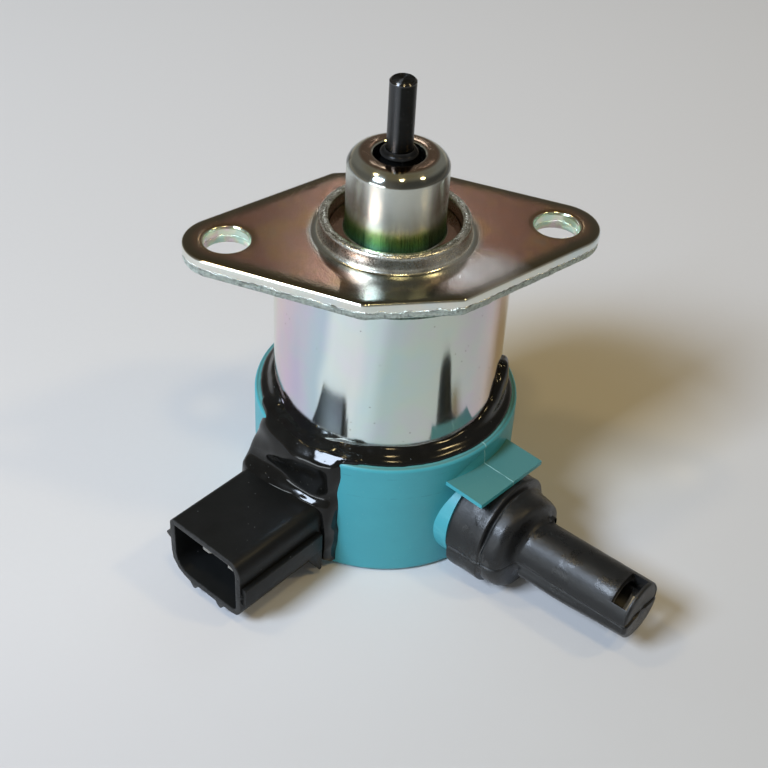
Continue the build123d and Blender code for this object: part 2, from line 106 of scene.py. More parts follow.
class Shader:
    """A node material built in code. Lengths in its texture space are millimetres."""

    def __init__(self, name):
        self.mat = bpy.data.materials.new(name)
        self.mat.use_nodes = True
        self.tree = self.mat.node_tree
        self.out = self.tree.nodes["Material Output"]
        self.surface = self.tree.nodes["Principled BSDF"]
        where = self.tree.nodes.new("ShaderNodeTexCoord")
        scale = self.tree.nodes.new("ShaderNodeVectorMath")
        scale.operation = "SCALE"
        scale.inputs["Scale"].default_value = 1000.0
        self.tree.links.new(where.outputs["Object"], scale.inputs[0])
        self.place = scale.outputs["Vector"]
        self.axes = self.split(self.place)
        geometry = self.tree.nodes.new("ShaderNodeNewGeometry")
        self.facing = self.split(geometry.outputs["Normal"])
        self.edge = geometry.outputs["Pointiness"]
        self.normal = None

    def put(self, socket, value):
        if isinstance(value, bpy.types.NodeSocket):
            self.tree.links.new(value, socket)
        elif isinstance(value, (tuple, list)) and len(value) == 3 and len(socket.default_value) == 4:
            socket.default_value = (*value, 1.0)
        else:
            socket.default_value = value

    def set(self, **values):
        for key, value in values.items():
            self.put(self.surface.inputs[key.replace("_", " ")], value)

    def split(self, vector):
        node = self.tree.nodes.new("ShaderNodeSeparateXYZ")
        self.tree.links.new(vector, node.inputs[0])
        return node.outputs

    def join(self, x, y, z):
        node = self.tree.nodes.new("ShaderNodeCombineXYZ")
        for socket, value in zip(node.inputs, (x, y, z)):
            self.put(socket, value)
        return node.outputs[0]

    def math(self, kind, a, b=0.0):
        node = self.tree.nodes.new("ShaderNodeMath")
        node.operation = kind
        for socket, value in zip(node.inputs, (a, b)):
            self.put(socket, value)
        return node.outputs[0]

    def scaled(self, x, y, z):
        node = self.tree.nodes.new("ShaderNodeVectorMath")
        node.operation = "MULTIPLY"
        self.tree.links.new(self.place, node.inputs[0])
        node.inputs[1].default_value = (x, y, z)
        return node.outputs["Vector"]

    def noise(self, scale, detail=3.0, rough=0.5, vector=None):
        node = self.tree.nodes.new("ShaderNodeTexNoise")
        node.inputs["Scale"].default_value = scale
        node.inputs["Detail"].default_value = detail
        node.inputs["Roughness"].default_value = rough
        self.tree.links.new(vector or self.place, node.inputs["Vector"])
        return node.outputs["Fac"]

    def cells(self, scale, vector=None):
        """Distance to the nearest of many scattered points."""
        node = self.tree.nodes.new("ShaderNodeTexVoronoi")
        node.inputs["Scale"].default_value = scale
        self.tree.links.new(vector or self.place, node.inputs["Vector"])
        return node.outputs["Distance"]

    def step(self, value, low, high, to_low=0.0, to_high=1.0, kind="SMOOTHSTEP"):
        node = self.tree.nodes.new("ShaderNodeMapRange")
        node.interpolation_type = kind
        for socket, item in zip(node.inputs, (value, low, high, to_low, to_high)):
            self.put(socket, item)
        return node.outputs[0]

    def fall(self, value, low, high):
        """One below low and nothing above high."""
        return self.step(value, low, high, 1.0, 0.0)

    def ramp(self, value, stops, kind="LINEAR"):
        node = self.tree.nodes.new("ShaderNodeValToRGB")
        node.color_ramp.interpolation = kind
        fill_ramp(node, stops)
        self.put(node.inputs[0], value)
        return node.outputs["Color"]

    def mix(self, factor, a, b):
        node = self.tree.nodes.new("ShaderNodeMix")
        node.data_type = "RGBA"
        self.put(node.inputs["Factor"], factor)
        self.put(node.inputs[6], a)
        self.put(node.inputs[7], b)
        return node.outputs[2]

    def bump(self, height, distance):
        """Raises the surface by height times distance millimetres."""
        node = self.tree.nodes.new("ShaderNodeBump")
        node.inputs["Strength"].default_value = 1.0
        node.inputs["Distance"].default_value = distance * MM
        self.put(node.inputs["Height"], height)
        if self.normal:
            self.tree.links.new(self.normal, node.inputs["Normal"])
        self.normal = node.outputs[0]
        self.tree.links.new(self.normal, self.surface.inputs["Normal"])

    def turned(self):
        """Stretches the gloss across the turning lines of a part turned about Z."""
        node = self.tree.nodes.new("ShaderNodeTangent")
        node.direction_type = "RADIAL"
        node.axis = "Z"
        self.tree.links.new(node.outputs[0], self.surface.inputs["Tangent"])

    def azimuth(self):
        return self.math("ARCTAN2", self.axes[1], self.axes[0])

    def length(self, a, b):
        return self.math("SQRT", self.more(self.times(a, a), self.times(b, b)))

    def radius(self):
        return self.length(self.axes[0], self.axes[1])

    def away(self, x, y):
        """Distance in plan from the point (x, y)."""
        return self.length(self.more(self.axes[0], -x), self.more(self.axes[1], -y))

    def rolled(self, around, up, level=0.0):
        """Texture space round the axis, with the azimuth and the height scaled on their own."""
        return self.join(self.times(self.azimuth(), around), level, self.times(self.axes[2], up))

    def side_axes(self, azimuth):
        """Places outwards and sideways at an azimuth."""
        x, y, _ = self.axes
        turn = math.radians(azimuth)
        outwards = self.more(self.times(x, math.cos(turn)), self.times(y, math.sin(turn)))
        sideways = self.more(self.times(x, -math.sin(turn)), self.times(y, math.cos(turn)))
        return outwards, sideways

    def less(self, a, b):
        return self.math("SUBTRACT", a, b)

    def absolute(self, a):
        return self.math("ABSOLUTE", a)

    def more(self, *values):
        total = values[0]
        for value in values[1:]:
            total = self.math("ADD", total, value)
        return total

    def times(self, *values):
        total = values[0]
        for value in values[1:]:
            total = self.math("MULTIPLY", total, value)
        return total


def plating(name, low, high, rough=0.3):
    """Plain plated metal for the inner pieces: two tints, fine grain and rubbed edges."""
    s = Shader(name)
    cloud = s.noise(0.35, 4.0)
    fine = s.noise(6.0, 3.0)
    wear = s.step(s.edge, 0.51, 0.56)
    tint = s.mix(cloud, low, high)
    s.set(Base_Color=s.mix(s.times(wear, 0.5), tint, (0.85, 0.84, 0.8)), Metallic=1.0)
    grain = s.more(s.times(cloud, 0.5), s.times(fine, 0.5))
    s.set(Roughness=s.step(grain, 0.3, 0.7, rough * 0.8, rough * 1.25))
    s.bump(fine, 0.01)
    return s.mat


def moulding(name, low, high, rough=0.5, grain=0.02, gloss=0.5):
    """Moulded plastic or rubber: uneven tone, fine texture and paler edges."""
    s = Shader(name)
    cloud = s.noise(0.25, 4.0)
    fine = s.noise(7.0, 4.0, 0.6)
    wear = s.step(s.edge, 0.51, 0.57)
    tint = s.mix(cloud, low, high)
    paler = tuple(min(1.0, c * 1.6 + 0.02) for c in high)
    s.set(Base_Color=s.mix(s.times(wear, 0.6), tint, paler), Specular_IOR_Level=gloss)
    s.set(Roughness=s.step(fine, 0.3, 0.7, rough * 0.85, min(1.0, rough * 1.2)))
    s.bump(fine, grain)
    return s.mat


def flange_metal():
    """Passivated zinc: mauve brown on the flat, pale on the sheared side, torn lower edge; on the flat,
    painted reflections: a dark rolled band, a cool grey ring at the collar's foot, a dark patch and a pale
    highlight in front of the collar.
    """
    s = Shader("zinc_flange")
    x, y, z = s.axes
    cloud = s.noise(0.12, 5.0, 0.6)
    fine = s.noise(3.0, 4.0, 0.7)
    flat = s.step(s.facing[2], 0.55, 0.95)
    top = s.ramp(cloud, [(0.30, (0.48, 0.26, 0.17)), (0.48, (0.45, 0.26, 0.20)), (0.60, (0.50, 0.30, 0.17)),
                         (0.75, (0.45, 0.33, 0.26))])
    # painted dark reflection on the rolled band along the outline
    ax = s.absolute(x)
    ay = s.absolute(y)
    nx, ny, c = SIDE_LINE
    to_side = s.less(c, s.more(s.times(ax, nx), s.times(ay, ny)))
    to_flat = s.less(FLAT_Y, ay)
    from_tip = s.less(ax, HOLE_X)
    tip_distance = s.length(from_tip, ay)
    to_tip = s.less(TIP_RADIUS, tip_distance)
    beyond = s.step(from_tip, -0.5, 1.5)
    to_edge = s.math("MINIMUM", to_side, to_flat)
    to_edge = s.more(s.times(to_edge, s.less(1.0, beyond)), s.times(to_tip, beyond))
    band = s.fall(s.more(to_edge, s.times(cloud, 1.2)), 1.4, 4.2)
    top = s.mix(s.times(band, 0.9), top, (0.17, 0.165, 0.11))
    hole_band = s.fall(tip_distance, 4.0, 5.4)
    top = s.mix(s.times(hole_band, 0.6), top, (0.30, 0.23, 0.13))
    # painted cool grey reflection in a ring round the collar's foot
    painted_collar_ring = s.fall(s.more(s.radius(), s.times(cloud, 1.5)), 13.6, 15.6)
    top = s.mix(s.times(painted_collar_ring, 0.9), top, (0.47, 0.52, 0.49))
    # painted dark reflection in a patch in front of the collar
    painted_dark_patch = s.fall(s.more(s.away(-2.0, -17.0), s.times(cloud, 4.0)), 5.0, 14.0)
    top = s.mix(s.times(painted_dark_patch, 0.92), top, (0.19, 0.21, 0.19))
    # painted pale cool highlight to the right in front of the collar
    pale_cloud = s.fall(s.more(s.away(12.0, -13.0), s.times(cloud, 5.0)), 5.0, 11.5)
    top = s.mix(s.times(pale_cloud, 0.92), top, (0.84, 0.83, 0.85))
    # side: sheared above, torn below
    border = s.more(z, s.times(s.noise(0.55, 5.0, 0.7), 1.6))
    below = s.less(1.0, flat)
    torn = s.times(s.fall(border, -1.15, -0.80), below)
    lip = s.times(s.fall(s.absolute(s.more(border, 1.0)), 0.05, 0.20), below)
    lip = s.times(lip, s.step(s.noise(0.30, 3.0), 0.48, 0.56))
    side = s.ramp(s.noise(0.10, 2.0), [(0.35, (0.80, 0.86, 0.80)), (0.5, (0.84, 0.84, 0.76)),
                                       (0.65, (0.74, 0.83, 0.84))])
    broken = s.mix(s.step(s.noise(1.7, 6.0, 0.85), 0.36, 0.56), (0.16, 0.18, 0.16), (0.58, 0.65, 0.60))
    side = s.mix(torn, side, broken)
    side = s.mix(s.times(lip, 0.8), side, (0.05, 0.05, 0.04))
    colour = s.mix(flat, side, top)
    hole_tint = s.ramp(s.noise(0.35, 2.0), [(0.38, (0.86, 0.70, 0.74)), (0.5, (0.80, 0.86, 0.66)),
                                            (0.6, (0.66, 0.84, 0.72))])
    in_hole = s.times(s.fall(tip_distance, 3.95, 4.15), s.less(1.0, flat))
    colour = s.mix(in_hole, colour, hole_tint)
    # collar: rough bright rim, brown inside
    chips = s.noise(1.0, 4.0, 0.7, s.rolled(7.0, 2.6, s.times(s.radius(), 2.6)))
    rim = s.mix(s.step(chips, 0.38, 0.60), (0.30, 0.30, 0.25), (0.86, 0.87, 0.82))
    wall = s.ramp(s.noise(0.25, 4.0, 0.7), [(0.35, (0.30, 0.31, 0.28)), (0.5, (0.62, 0.63, 0.58)),
                                            (0.65, (0.72, 0.76, 0.74))])
    collar_colour = s.mix(s.step(z, 2.5, 3.0), wall, rim)
    on_collar = s.step(z, 0.10, 0.5)
    colour = s.mix(on_collar, colour, collar_colour)
    inside = s.fall(s.radius(), 10.80, 10.95)
    colour = s.mix(s.times(inside, 0.75), colour, (0.30, 0.22, 0.16))
    s.set(Base_Color=colour, Metallic=1.0)
    rough_top = s.step(fine, 0.3, 0.7, 0.12, 0.20)
    s.set(Roughness=s.more(rough_top, s.times(torn, 0.22), s.times(band, -0.04), s.times(on_collar, 0.12)))
    s.bump(s.times(fine, flat), 0.018)
    s.bump(s.times(s.noise(1.1, 6.0, 0.85), torn), 0.50)
    s.bump(s.times(chips, s.step(z, 2.4, 2.9)), 0.05)
    return s.mat


def nose_metal():
    """Turned and plated nose: silver wall, green drawn marks at its foot, brown flat top; painted shade down
    one side and in the bore, and a painted dark reflection below the shoulder.
    """
    s = Shader("zinc_nose")
    z = s.axes[2]
    lines = s.noise(1.0, 4.0, 0.7, s.rolled(34.0, 0.12))
    cloud = s.noise(0.3, 4.0)
    fine = s.noise(4.0, 4.0, 0.6)
    silver = s.mix(cloud, (0.60, 0.64, 0.60), (0.68, 0.70, 0.64))
    level = s.more(z, s.times(lines, 1.6), s.times(cloud, 1.0))
    foot = s.ramp(s.step(level, 1.6, 7.6, kind="LINEAR"), [
        (0.00, (0.26, 0.62, 0.60)), (0.16, (0.36, 0.92, 0.76)), (0.36, (0.40, 0.98, 0.44)),
        (0.58, (0.58, 0.86, 0.36)), (0.74, (0.76, 0.78, 0.52)), (0.90, (0.66, 0.69, 0.62))])
    side = s.mix(s.fall(level, 5.6, 7.6), silver, foot)
    streaks = s.noise(1.0, 4.0, 0.75, s.rolled(60.0, 0.10, 3.0))
    streaked = s.times(s.step(streaks, 0.48, 0.62), s.step(level, 4.5, 6.5, 0.85, 0.0))
    side = s.mix(streaked, side, (0.03, 0.14, 0.06))
    flat = s.step(s.facing[2], 0.93, 0.995)
    shoulder = s.step(s.facing[2], 0.15, 0.75)
    gilt = s.mix(cloud, (0.56, 0.61, 0.57), (0.72, 0.75, 0.70))
    turn = s.azimuth()
    # painted shade down one side of the nose
    shade = s.times(s.step(turn, -1.12, -0.98), s.fall(turn, -0.65, -0.40))
    side = s.mix(s.times(shade, 0.5), side, (0.24, 0.23, 0.20))
    colour = s.mix(shoulder, side, gilt)
    # painted dark reflection in a belt below the shoulder, fainter on one side
    painted_dark_belt = s.times(s.step(z, 12.50, 12.70), s.fall(z, 13.45, 14.00))
    painted_dark_belt = s.times(painted_dark_belt, s.step(turn, -2.05, -1.60, 0.45, 1.0))
    colour = s.mix(s.times(painted_dark_belt, 0.85), colour, (0.11, 0.115, 0.11))
    top = s.mix(cloud, (0.27, 0.18, 0.13), (0.34, 0.24, 0.17))
    colour = s.mix(s.times(flat, s.step(z, 10.0, 14.0)), colour, top)
    # painted shade down the bore
    bore = s.fall(s.radius(), 4.0, 4.3)
    colour = s.mix(s.times(bore, 0.9), colour, (0.05, 0.05, 0.045))
    floor = s.times(s.fall(z, 1.0, 1.2), s.step(s.radius(), 8.3, 8.6))
    colour = s.mix(floor, colour, (0.34, 0.21, 0.15))
    wall = s.times(s.fall(s.facing[2], 0.10, 0.28), s.step(z, 0.9, 1.4))
    pits = s.times(wall, s.fall(s.cells(1.1, s.rolled(5.0, 2.4)), 0.06, 0.13), s.step(cloud, 0.42, 0.55))
    colour = s.mix(s.times(pits, 0.6), colour, (0.20, 0.20, 0.17))
    rough = s.step(s.more(s.times(fine, 0.6), s.times(lines, 0.4)), 0.3, 0.7, 0.09, 0.14)
    s.set(Base_Color=colour, Metallic=1.0, Anisotropic=0.9, Anisotropic_Rotation=0.25,
          Roughness=s.more(rough, s.times(wall, 0.13)))
    s.turned()
    s.bump(s.times(lines, wall), 0.006)
    s.bump(s.noise(1.6, 4.0, 0.6, s.scaled(1.0, 1.0, 2.2)), 0.008)
    return s.mat


def case_metal():
    """Satin iridescent can: soft bands of tint round it with a painted highlight band among them, faint draw
    lines and a few specks.
    """
    s = Shader("zinc_case")
    z = s.axes[2]
    turn = s.more(s.math("DIVIDE", s.azimuth(), 2.0 * math.pi), 0.5)
    drift = s.more(turn, s.times(s.noise(0.035, 2.0), 0.05), s.times(z, -0.0010), -0.0500)
    # tints of the plating by azimuth; the pale stops from 49 to 67 degrees are a painted highlight band,
    # which the drift leans with height
    stops = [(0, (0.78, 0.74, 0.60)), (9, (0.86, 0.62, 0.68)), (18, (0.80, 0.60, 0.74)),
             (31, (0.61, 0.58, 0.75)), (42, (0.48, 0.63, 0.77)), (49, (0.90, 1.00, 1.00)),
             (60, (0.94, 1.00, 1.00)), (67, (0.74, 0.93, 0.96)), (76, (0.50, 0.66, 0.66)),
             (86, (0.55, 0.66, 0.61)), (102, (0.60, 0.66, 0.61)), (119, (0.55, 0.55, 0.57)),
             (127, (0.64, 0.53, 0.56)), (135, (0.80, 0.60, 0.61)), (148, (0.80, 0.61, 0.58)),
             (160, (0.76, 0.70, 0.50)), (200, (0.62, 0.76, 0.72)), (240, (0.70, 0.60, 0.72)),
             (290, (0.78, 0.74, 0.56)), (325, (0.60, 0.70, 0.74)), (360, (0.78, 0.74, 0.60))]
    tints_and_highlight = s.ramp(drift, [(degrees / 360.0, colour) for degrees, colour in stops], kind="EASE")
    fine = s.noise(5.0, 4.0, 0.6)
    draw = s.noise(1.0, 3.0, 0.6, s.rolled(20.0, 0.10))
    specks = s.fall(s.cells(0.55), 0.05, 0.075)
    pale_cloud = s.ramp(s.noise(0.09, 4.0, 0.6), [(0.34, (0.94, 0.74, 0.90)), (0.47, (0.84, 0.94, 0.74)),
                                            (0.56, (0.72, 0.92, 0.86)), (0.68, (0.84, 0.80, 1.00))])
    colour = s.mix(0.22, tints_and_highlight, pale_cloud)
    colour = s.mix(s.times(draw, 0.12), colour, (0.55, 0.60, 0.60))
    colour = s.mix(s.times(specks, 0.8), colour, (0.16, 0.10, 0.06))
    s.set(Base_Color=colour, Metallic=1.0, Roughness=s.step(fine, 0.3, 0.7, 0.055, 0.085),
          Anisotropic=0.9, Anisotropic_Rotation=0.25)
    s.turned()
    s.bump(fine, 0.003)
    return s.mat


def teal_plastic():
    """Teal moulding with faint turning lines, small pits, rubbed brighter edges and painted shade on faces
    that point up.
    """
    s = Shader("teal_plastic")
    z = s.axes[2]
    cloud = s.noise(0.14, 4.0, 0.6)
    fine = s.noise(6.0, 3.0, 0.6)
    colour = s.mix(cloud, (0.035, 0.275, 0.330), (0.052, 0.335, 0.390))
    # painted shade: faces that point up are darker and greyer
    shaded_tops = s.step(s.facing[2], 0.7, 0.95)
    colour = s.mix(s.times(shaded_tops, 0.85), colour, (0.065, 0.180, 0.165))
    wear = s.step(s.edge, 0.505, 0.56)
    colour = s.mix(s.times(wear, 0.45), colour, (0.16, 0.56, 0.60))
    out, across = s.side_axes(TAB_AZIMUTH)
    across = s.more(across, s.times(s.noise(0.9, 2.0), 0.15), -0.4)
    witness = s.times(s.fall(s.absolute(across), 0.04, 0.13), s.step(out, 20.0, 21.0),
                      s.step(z, -38.5, -36.5), s.step(s.noise(1.2, 3.0, 0.7), 0.36, 0.46))
    colour = s.mix(s.times(witness, 0.75), colour, (0.36, 0.66, 0.66))
    joints = s.more(s.fall(s.absolute(s.more(z, 33.3)), 0.05, 0.13),
                    s.fall(s.absolute(s.more(z, 37.64)), 0.05, 0.13))
    joints = s.times(joints, s.step(s.noise(0.7, 4.0, 0.8), 0.46, 0.58), s.fall(s.facing[2], 0.05, 0.2))
    colour = s.mix(s.times(joints, 0.35), colour, (0.02, 0.17, 0.20))
    pits = s.fall(s.cells(0.9), 0.03, 0.055)
    colour = s.mix(s.times(pits, 0.55), colour, (0.30, 0.50, 0.50))
    dust = s.step(s.noise(1.4, 6.0, 0.8), 0.60, 0.72)
    colour = s.mix(s.times(dust, 0.08), colour, (0.55, 0.60, 0.58))
    grain = s.more(s.times(fine, 0.5), s.times(cloud, 0.5))
    s.set(Base_Color=colour, Roughness=s.step(grain, 0.35, 0.65, 0.34, 0.48))
    rings = s.noise(1.0, 2.0, 0.5, s.rolled(0.6, 1.8))
    s.bump(rings, 0.02)
    s.bump(fine, 0.008)
    s.bump(s.more(s.times(pits, -0.03), s.times(witness, 0.04)), 1.0)
    return s.mat


def glossy_sealant():
    """Glossy black compound with slow waves, a few burst bubbles and grains of dust."""
    s = Shader("sealant_black")
    cloud = s.noise(0.4, 4.0)
    bubbles = s.fall(s.cells(0.85), 0.05, 0.10)
    colour = s.mix(cloud, (0.003, 0.003, 0.003), (0.008, 0.008, 0.007))
    s.set(Base_Color=s.mix(s.times(bubbles, 0.4), colour, (0.10, 0.10, 0.09)),
          Roughness=s.step(cloud, 0.35, 0.65, 0.05, 0.16), Specular_IOR_Level=0.30)
    s.bump(s.noise(0.30, 2.0, 0.4), 0.03)
    s.bump(bubbles, 0.03)
    s.bump(s.noise(4.0, 3.0), 0.0006)
    return s.mat


def boot_rubber():
    """Moulded rubber: patches of duller skin, dust and paler rubbed edges."""
    s = Shader("boot_rubber")
    cloud = s.noise(0.3, 4.0)
    fine = s.noise(7.0, 4.0, 0.6)
    dust = s.step(s.noise(1.1, 7.0, 0.8), 0.56, 0.74)
    colour = s.mix(cloud, (0.004, 0.0045, 0.005), (0.009, 0.010, 0.011))
    colour = s.mix(s.times(dust, 0.08), colour, (0.20, 0.20, 0.19))
    wear = s.step(s.edge, 0.51, 0.57)
    colour = s.mix(s.times(wear, 0.20), colour, (0.10, 0.10, 0.10))
    skin = s.step(s.noise(0.22, 3.0, 0.6), 0.44, 0.50)
    s.set(Base_Color=colour, Roughness=s.more(s.step(fine, 0.3, 0.7, 0.24, 0.34), s.times(skin, 0.12)))
    s.set(Specular_IOR_Level=0.42)
    s.bump(fine, 0.026)
    s.bump(s.noise(0.8, 4.0), 0.05)
    return s.mat


def connector_plastic():
    """Fine-grained black moulding with scuffs, and pale edges on the mouth and the rail that are partly wear
    and partly painted highlight.
    """
    s = Shader("connector_plastic")
    cloud = s.noise(0.3, 4.0)
    fine = s.noise(6.5, 5.0, 0.7)
    out, across = s.side_axes(CONNECTOR_AZIMUTH)
    # pale rim of the mouth and pale line along the rail's top edge: partly wear, partly painted highlight
    rim = s.step(out, 42.70, 42.92)
    ridge = s.times(s.step(across, 8.26, 8.42), s.step(s.axes[2], -45.75, -45.45))
    wear = s.times(s.more(rim, s.times(ridge, 0.6)), s.step(s.noise(1.6, 5.0, 0.75), 0.30, 0.60))
    scuff = s.step(s.noise(1.3, 6.0, 0.8), 0.60, 0.76)
    specks = s.fall(s.cells(0.55), 0.03, 0.06)
    colour = s.mix(cloud, (0.004, 0.0045, 0.0045), (0.009, 0.0095, 0.0095))
    colour = s.mix(s.times(wear, 0.12), colour, (0.14, 0.145, 0.145))
    colour = s.mix(s.times(scuff, 0.04), colour, (0.15, 0.15, 0.148))
    colour = s.mix(s.times(specks, 0.5), colour, (0.20, 0.20, 0.20))
    s.set(Base_Color=colour, Roughness=s.step(fine, 0.3, 0.7, 0.32, 0.46), Specular_IOR_Level=0.20)
    s.bump(fine, 0.010)
    s.bump(s.noise(0.7, 3.0), 0.03)
    return s.mat


def black_pin():
    """Blackened ground pin: fine turning lines, a rubbed chamfer at its end and a painted highlight down one
    side.
    """
    s = Shader("black_pin")
    z = s.axes[2]
    cloud = s.noise(0.5, 4.0)
    lines = s.noise(1.0, 3.0, 0.6, s.rolled(0.8, 5.0))
    wear = s.times(s.step(z, 26.2, 26.6), s.step(s.radius(), 1.7, 2.0))
    turn = s.azimuth()
    # painted highlight down one side of the pin
    painted_highlight = s.times(s.fall(turn, -1.98, -1.80), s.step(turn, -3.10, -2.75))
    dark = s.mix(cloud, (0.012, 0.013, 0.013), (0.026, 0.027, 0.026))
    colour = s.mix(painted_highlight, dark, (0.062, 0.064, 0.066))
    specks = s.fall(s.cells(1.4), 0.05, 0.10)
    colour = s.mix(s.times(specks, 0.5), colour, (0.20, 0.20, 0.20))
    colour = s.mix(s.times(wear, 0.3), colour, (0.25, 0.25, 0.26))
    tip = s.step(z, 26.75, 26.88)
    s.set(Base_Color=colour, Metallic=1.0, Anisotropic=0.9, Anisotropic_Rotation=0.25)
    s.set(Roughness=s.more(s.step(lines, 0.3, 0.7, 0.20, 0.27), s.times(tip, 0.25)))
    s.turned()
    s.bump(lines, 0.003)
    s.bump(s.noise(3.0, 4.0), 0.006)
    return s.mat


def side_line():
    """The flange's sloping side as (nx, ny, c) in the first quarter: nx x + ny y = c on the line."""
    dx = CORNER_X - HOLE_X
    dy = CORNER_Y
    lean = math.acos((TIP_RADIUS - CORNER_RADIUS) / math.hypot(dx, dy))
    angle = math.atan2(dy, dx) - lean
    nx, ny = math.cos(angle), math.sin(angle)
    return nx, ny, nx * HOLE_X + TIP_RADIUS


SIDE_LINE = side_line()

materials = {
    "zinc_flange": flange_metal(),
    "zinc_nose": nose_metal(),
    "zinc_case": case_metal(),
    "bronze": plating("bronze", (0.52, 0.33, 0.15), (0.62, 0.42, 0.22), 0.35),
    "seal_rubber": moulding("seal_rubber", (0.003, 0.003, 0.003), (0.006, 0.006, 0.006), 0.20, 0.004, 0.08),
    "sleeve_brass": plating("sleeve_brass", (0.62, 0.47, 0.22), (0.72, 0.56, 0.30), 0.3),
    "black_pin": black_pin(),
    "core_steel": plating("core_steel", (0.42, 0.42, 0.41), (0.55, 0.54, 0.52), 0.35),
    "spring_steel": plating("spring_steel", (0.45, 0.45, 0.46), (0.60, 0.60, 0.60), 0.28),
    "bobbin_plastic": moulding("bobbin_plastic", (0.03, 0.03, 0.03), (0.05, 0.05, 0.05), 0.5),
    "winding": plating("winding", (0.42, 0.14, 0.04), (0.60, 0.24, 0.08), 0.25),
    "wrap_film": moulding("wrap_film", (0.55, 0.40, 0.08), (0.70, 0.52, 0.12), 0.2),
    "carrier_plastic": moulding("carrier_plastic", (0.18, 0.11, 0.06), (0.26, 0.17, 0.10), 0.55),
    "contact_metal": plating("contact_metal", (0.60, 0.32, 0.16), (0.75, 0.45, 0.26), 0.3),
    "teal_plastic": teal_plastic(),
    "sealant_black": glossy_sealant(),
    "connector_plastic": connector_plastic(),
    "blade_metal": plating("blade_metal", (0.11, 0.11, 0.10), (0.16, 0.155, 0.14), 0.5),
    "boot_rubber": boot_rubber(),
}

for part in frame["record"]["subparts"]:
    mesh = nodes[part["node"]].data
    mesh.materials.clear()
    mesh.materials.append(materials[part["material_slot"]])


# Mesh helpers
def smooth_line(points, steps=4):
    """A smooth open line through points, as a denser list of tuples."""
    line = []
    last = len(points) - 1
    for i in range(last):
        p0, p1, p2, p3 = (Vector(points[max(0, min(last, i + k))]) for k in (-1, 0, 1, 2))
        for step in range(steps):
            t = step / steps
            line.append(tuple(0.5 * (2 * p1 + (p2 - p0) * t + (2 * p0 - 5 * p1 + 4 * p2 - p3) * t ** 2
                                     + (3 * p1 - p0 - 3 * p2 + p3) * t ** 3)))
    line.append(tuple(points[-1]))
    return line


def between(table, x):
    """The smooth value at x of a short table of (x, value) pairs."""
    if x <= table[0][0]:
        return table[0][1]
    for (x0, y0), (x1, y1) in zip(table, table[1:]):
        if x <= x1:
            t = (x - x0) / (x1 - x0)
            return y0 + (y1 - y0) * t * t * (3 - 2 * t)
    return table[-1][1]


def unit(x):
    """x held between 0 and 1."""
    return max(0.0, min(1.0, x))


def bell(x, middle, width):
    """A rounded hump of height 1 at middle."""
    return math.exp(-((x - middle) / width) ** 2)


def link(name, data):
    """A new object in the scene."""
    item = bpy.data.objects.new(name, data)
    scene.collection.objects.link(item)
    return item


def to_mesh(name, bm):
    """A mesh made from a bmesh, which is freed."""
    mesh = bpy.data.meshes.new(name)
    bm.to_mesh(mesh)
    bm.free()
    return mesh


def side_matrix(azimuth, side=0.0, height=0.0):
    """Local x sideways, y up and z outwards at an azimuth, in millimetres."""
    turn = math.radians(azimuth)
    outward = Vector((math.cos(turn), math.sin(turn), 0.0))
    sideways = Vector((-math.sin(turn), math.cos(turn), 0.0))
    matrix = Matrix((sideways, Vector((0, 0, 1)), outward)).transposed().to_4x4()
    matrix.translation = sideways * side + Vector((0, 0, height))
    return matrix


def bridge(bm, first, second, closed=True):
    """Faces between two loops, or between two lines if closed is False."""
    count = len(first)
    for i in range(count if closed else count - 1):
        j = (i + 1) % count
        bm.faces.new((first[i], first[j], second[j], second[i]))


def skin(bm, loops, closed=True):
    """Faces between each loop and the next."""
    for first, second in zip(loops, loops[1:]):
        bridge(bm, first, second, closed)


def cap(bm, loop, centre):
    """A fan of faces from a loop to a new middle vertex."""
    middle = bm.verts.new(centre)
    for i, vert in enumerate(loop):
        bm.faces.new((vert, loop[(i + 1) % len(loop)], middle))


def sharpen(bm, degrees):
    """Marks the edges that stay crisp under smooth shading."""
    limit = math.radians(degrees)
    for edge in bm.edges:
        edge.smooth = len(edge.link_faces) != 2 or edge.calc_face_angle(0.0) < limit
    for face in bm.faces:
        face.smooth = True


def finish_piece(name, bm, slot, replaced, matrix=None, crisp=35.0):
    """Turns a millimetre bmesh into a piece of the housing that replaces a CAD node."""
    if matrix:
        bmesh.ops.transform(bm, matrix=matrix, verts=bm.verts)
    for vert in bm.verts:
        for axis in range(3):
            least = cad_box[0][axis] / MM + 0.004
            most = cad_box[1][axis] / MM - 0.004
            vert.co[axis] = min(max(vert.co[axis], least), most)
    bmesh.ops.recalc_face_normals(bm, faces=bm.faces)
    bmesh.ops.scale(bm, vec=(MM, MM, MM), verts=bm.verts)
    sharpen(bm, crisp)
    mesh = to_mesh(name, bm)
    mesh.materials.append(materials[slot])
    piece = link(name, mesh)
    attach(piece, "housing")
    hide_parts(replaced)
    return piece


def with_modifiers(bm, steps):
    """The bmesh after some modifiers; steps are (kind, settings, cutter bmesh or None)."""
    work = link("work", to_mesh("work", bm))
    made = [work]
    for kind, settings, cutter in steps:
        change = work.modifiers.new(kind, kind)
        for key, value in settings.items():
            setattr(change, key, value)
        if cutter:
            change.object = link("cutter", to_mesh("cutter", cutter))
            made.append(change.object)
    done = bpy.data.meshes.new_from_object(work.evaluated_get(bpy.context.evaluated_depsgraph_get()))
    result = bmesh.new()
    result.from_mesh(done)
    bpy.data.meshes.remove(done)
    for item in made:
        old = item.data
        bpy.data.objects.remove(item)
        bpy.data.meshes.remove(old)
    return result


def cut(cutter):
    """A modifier step that takes a bmesh away."""
    return "BOOLEAN", {"operation": "DIFFERENCE", "solver": "EXACT"}, cutter


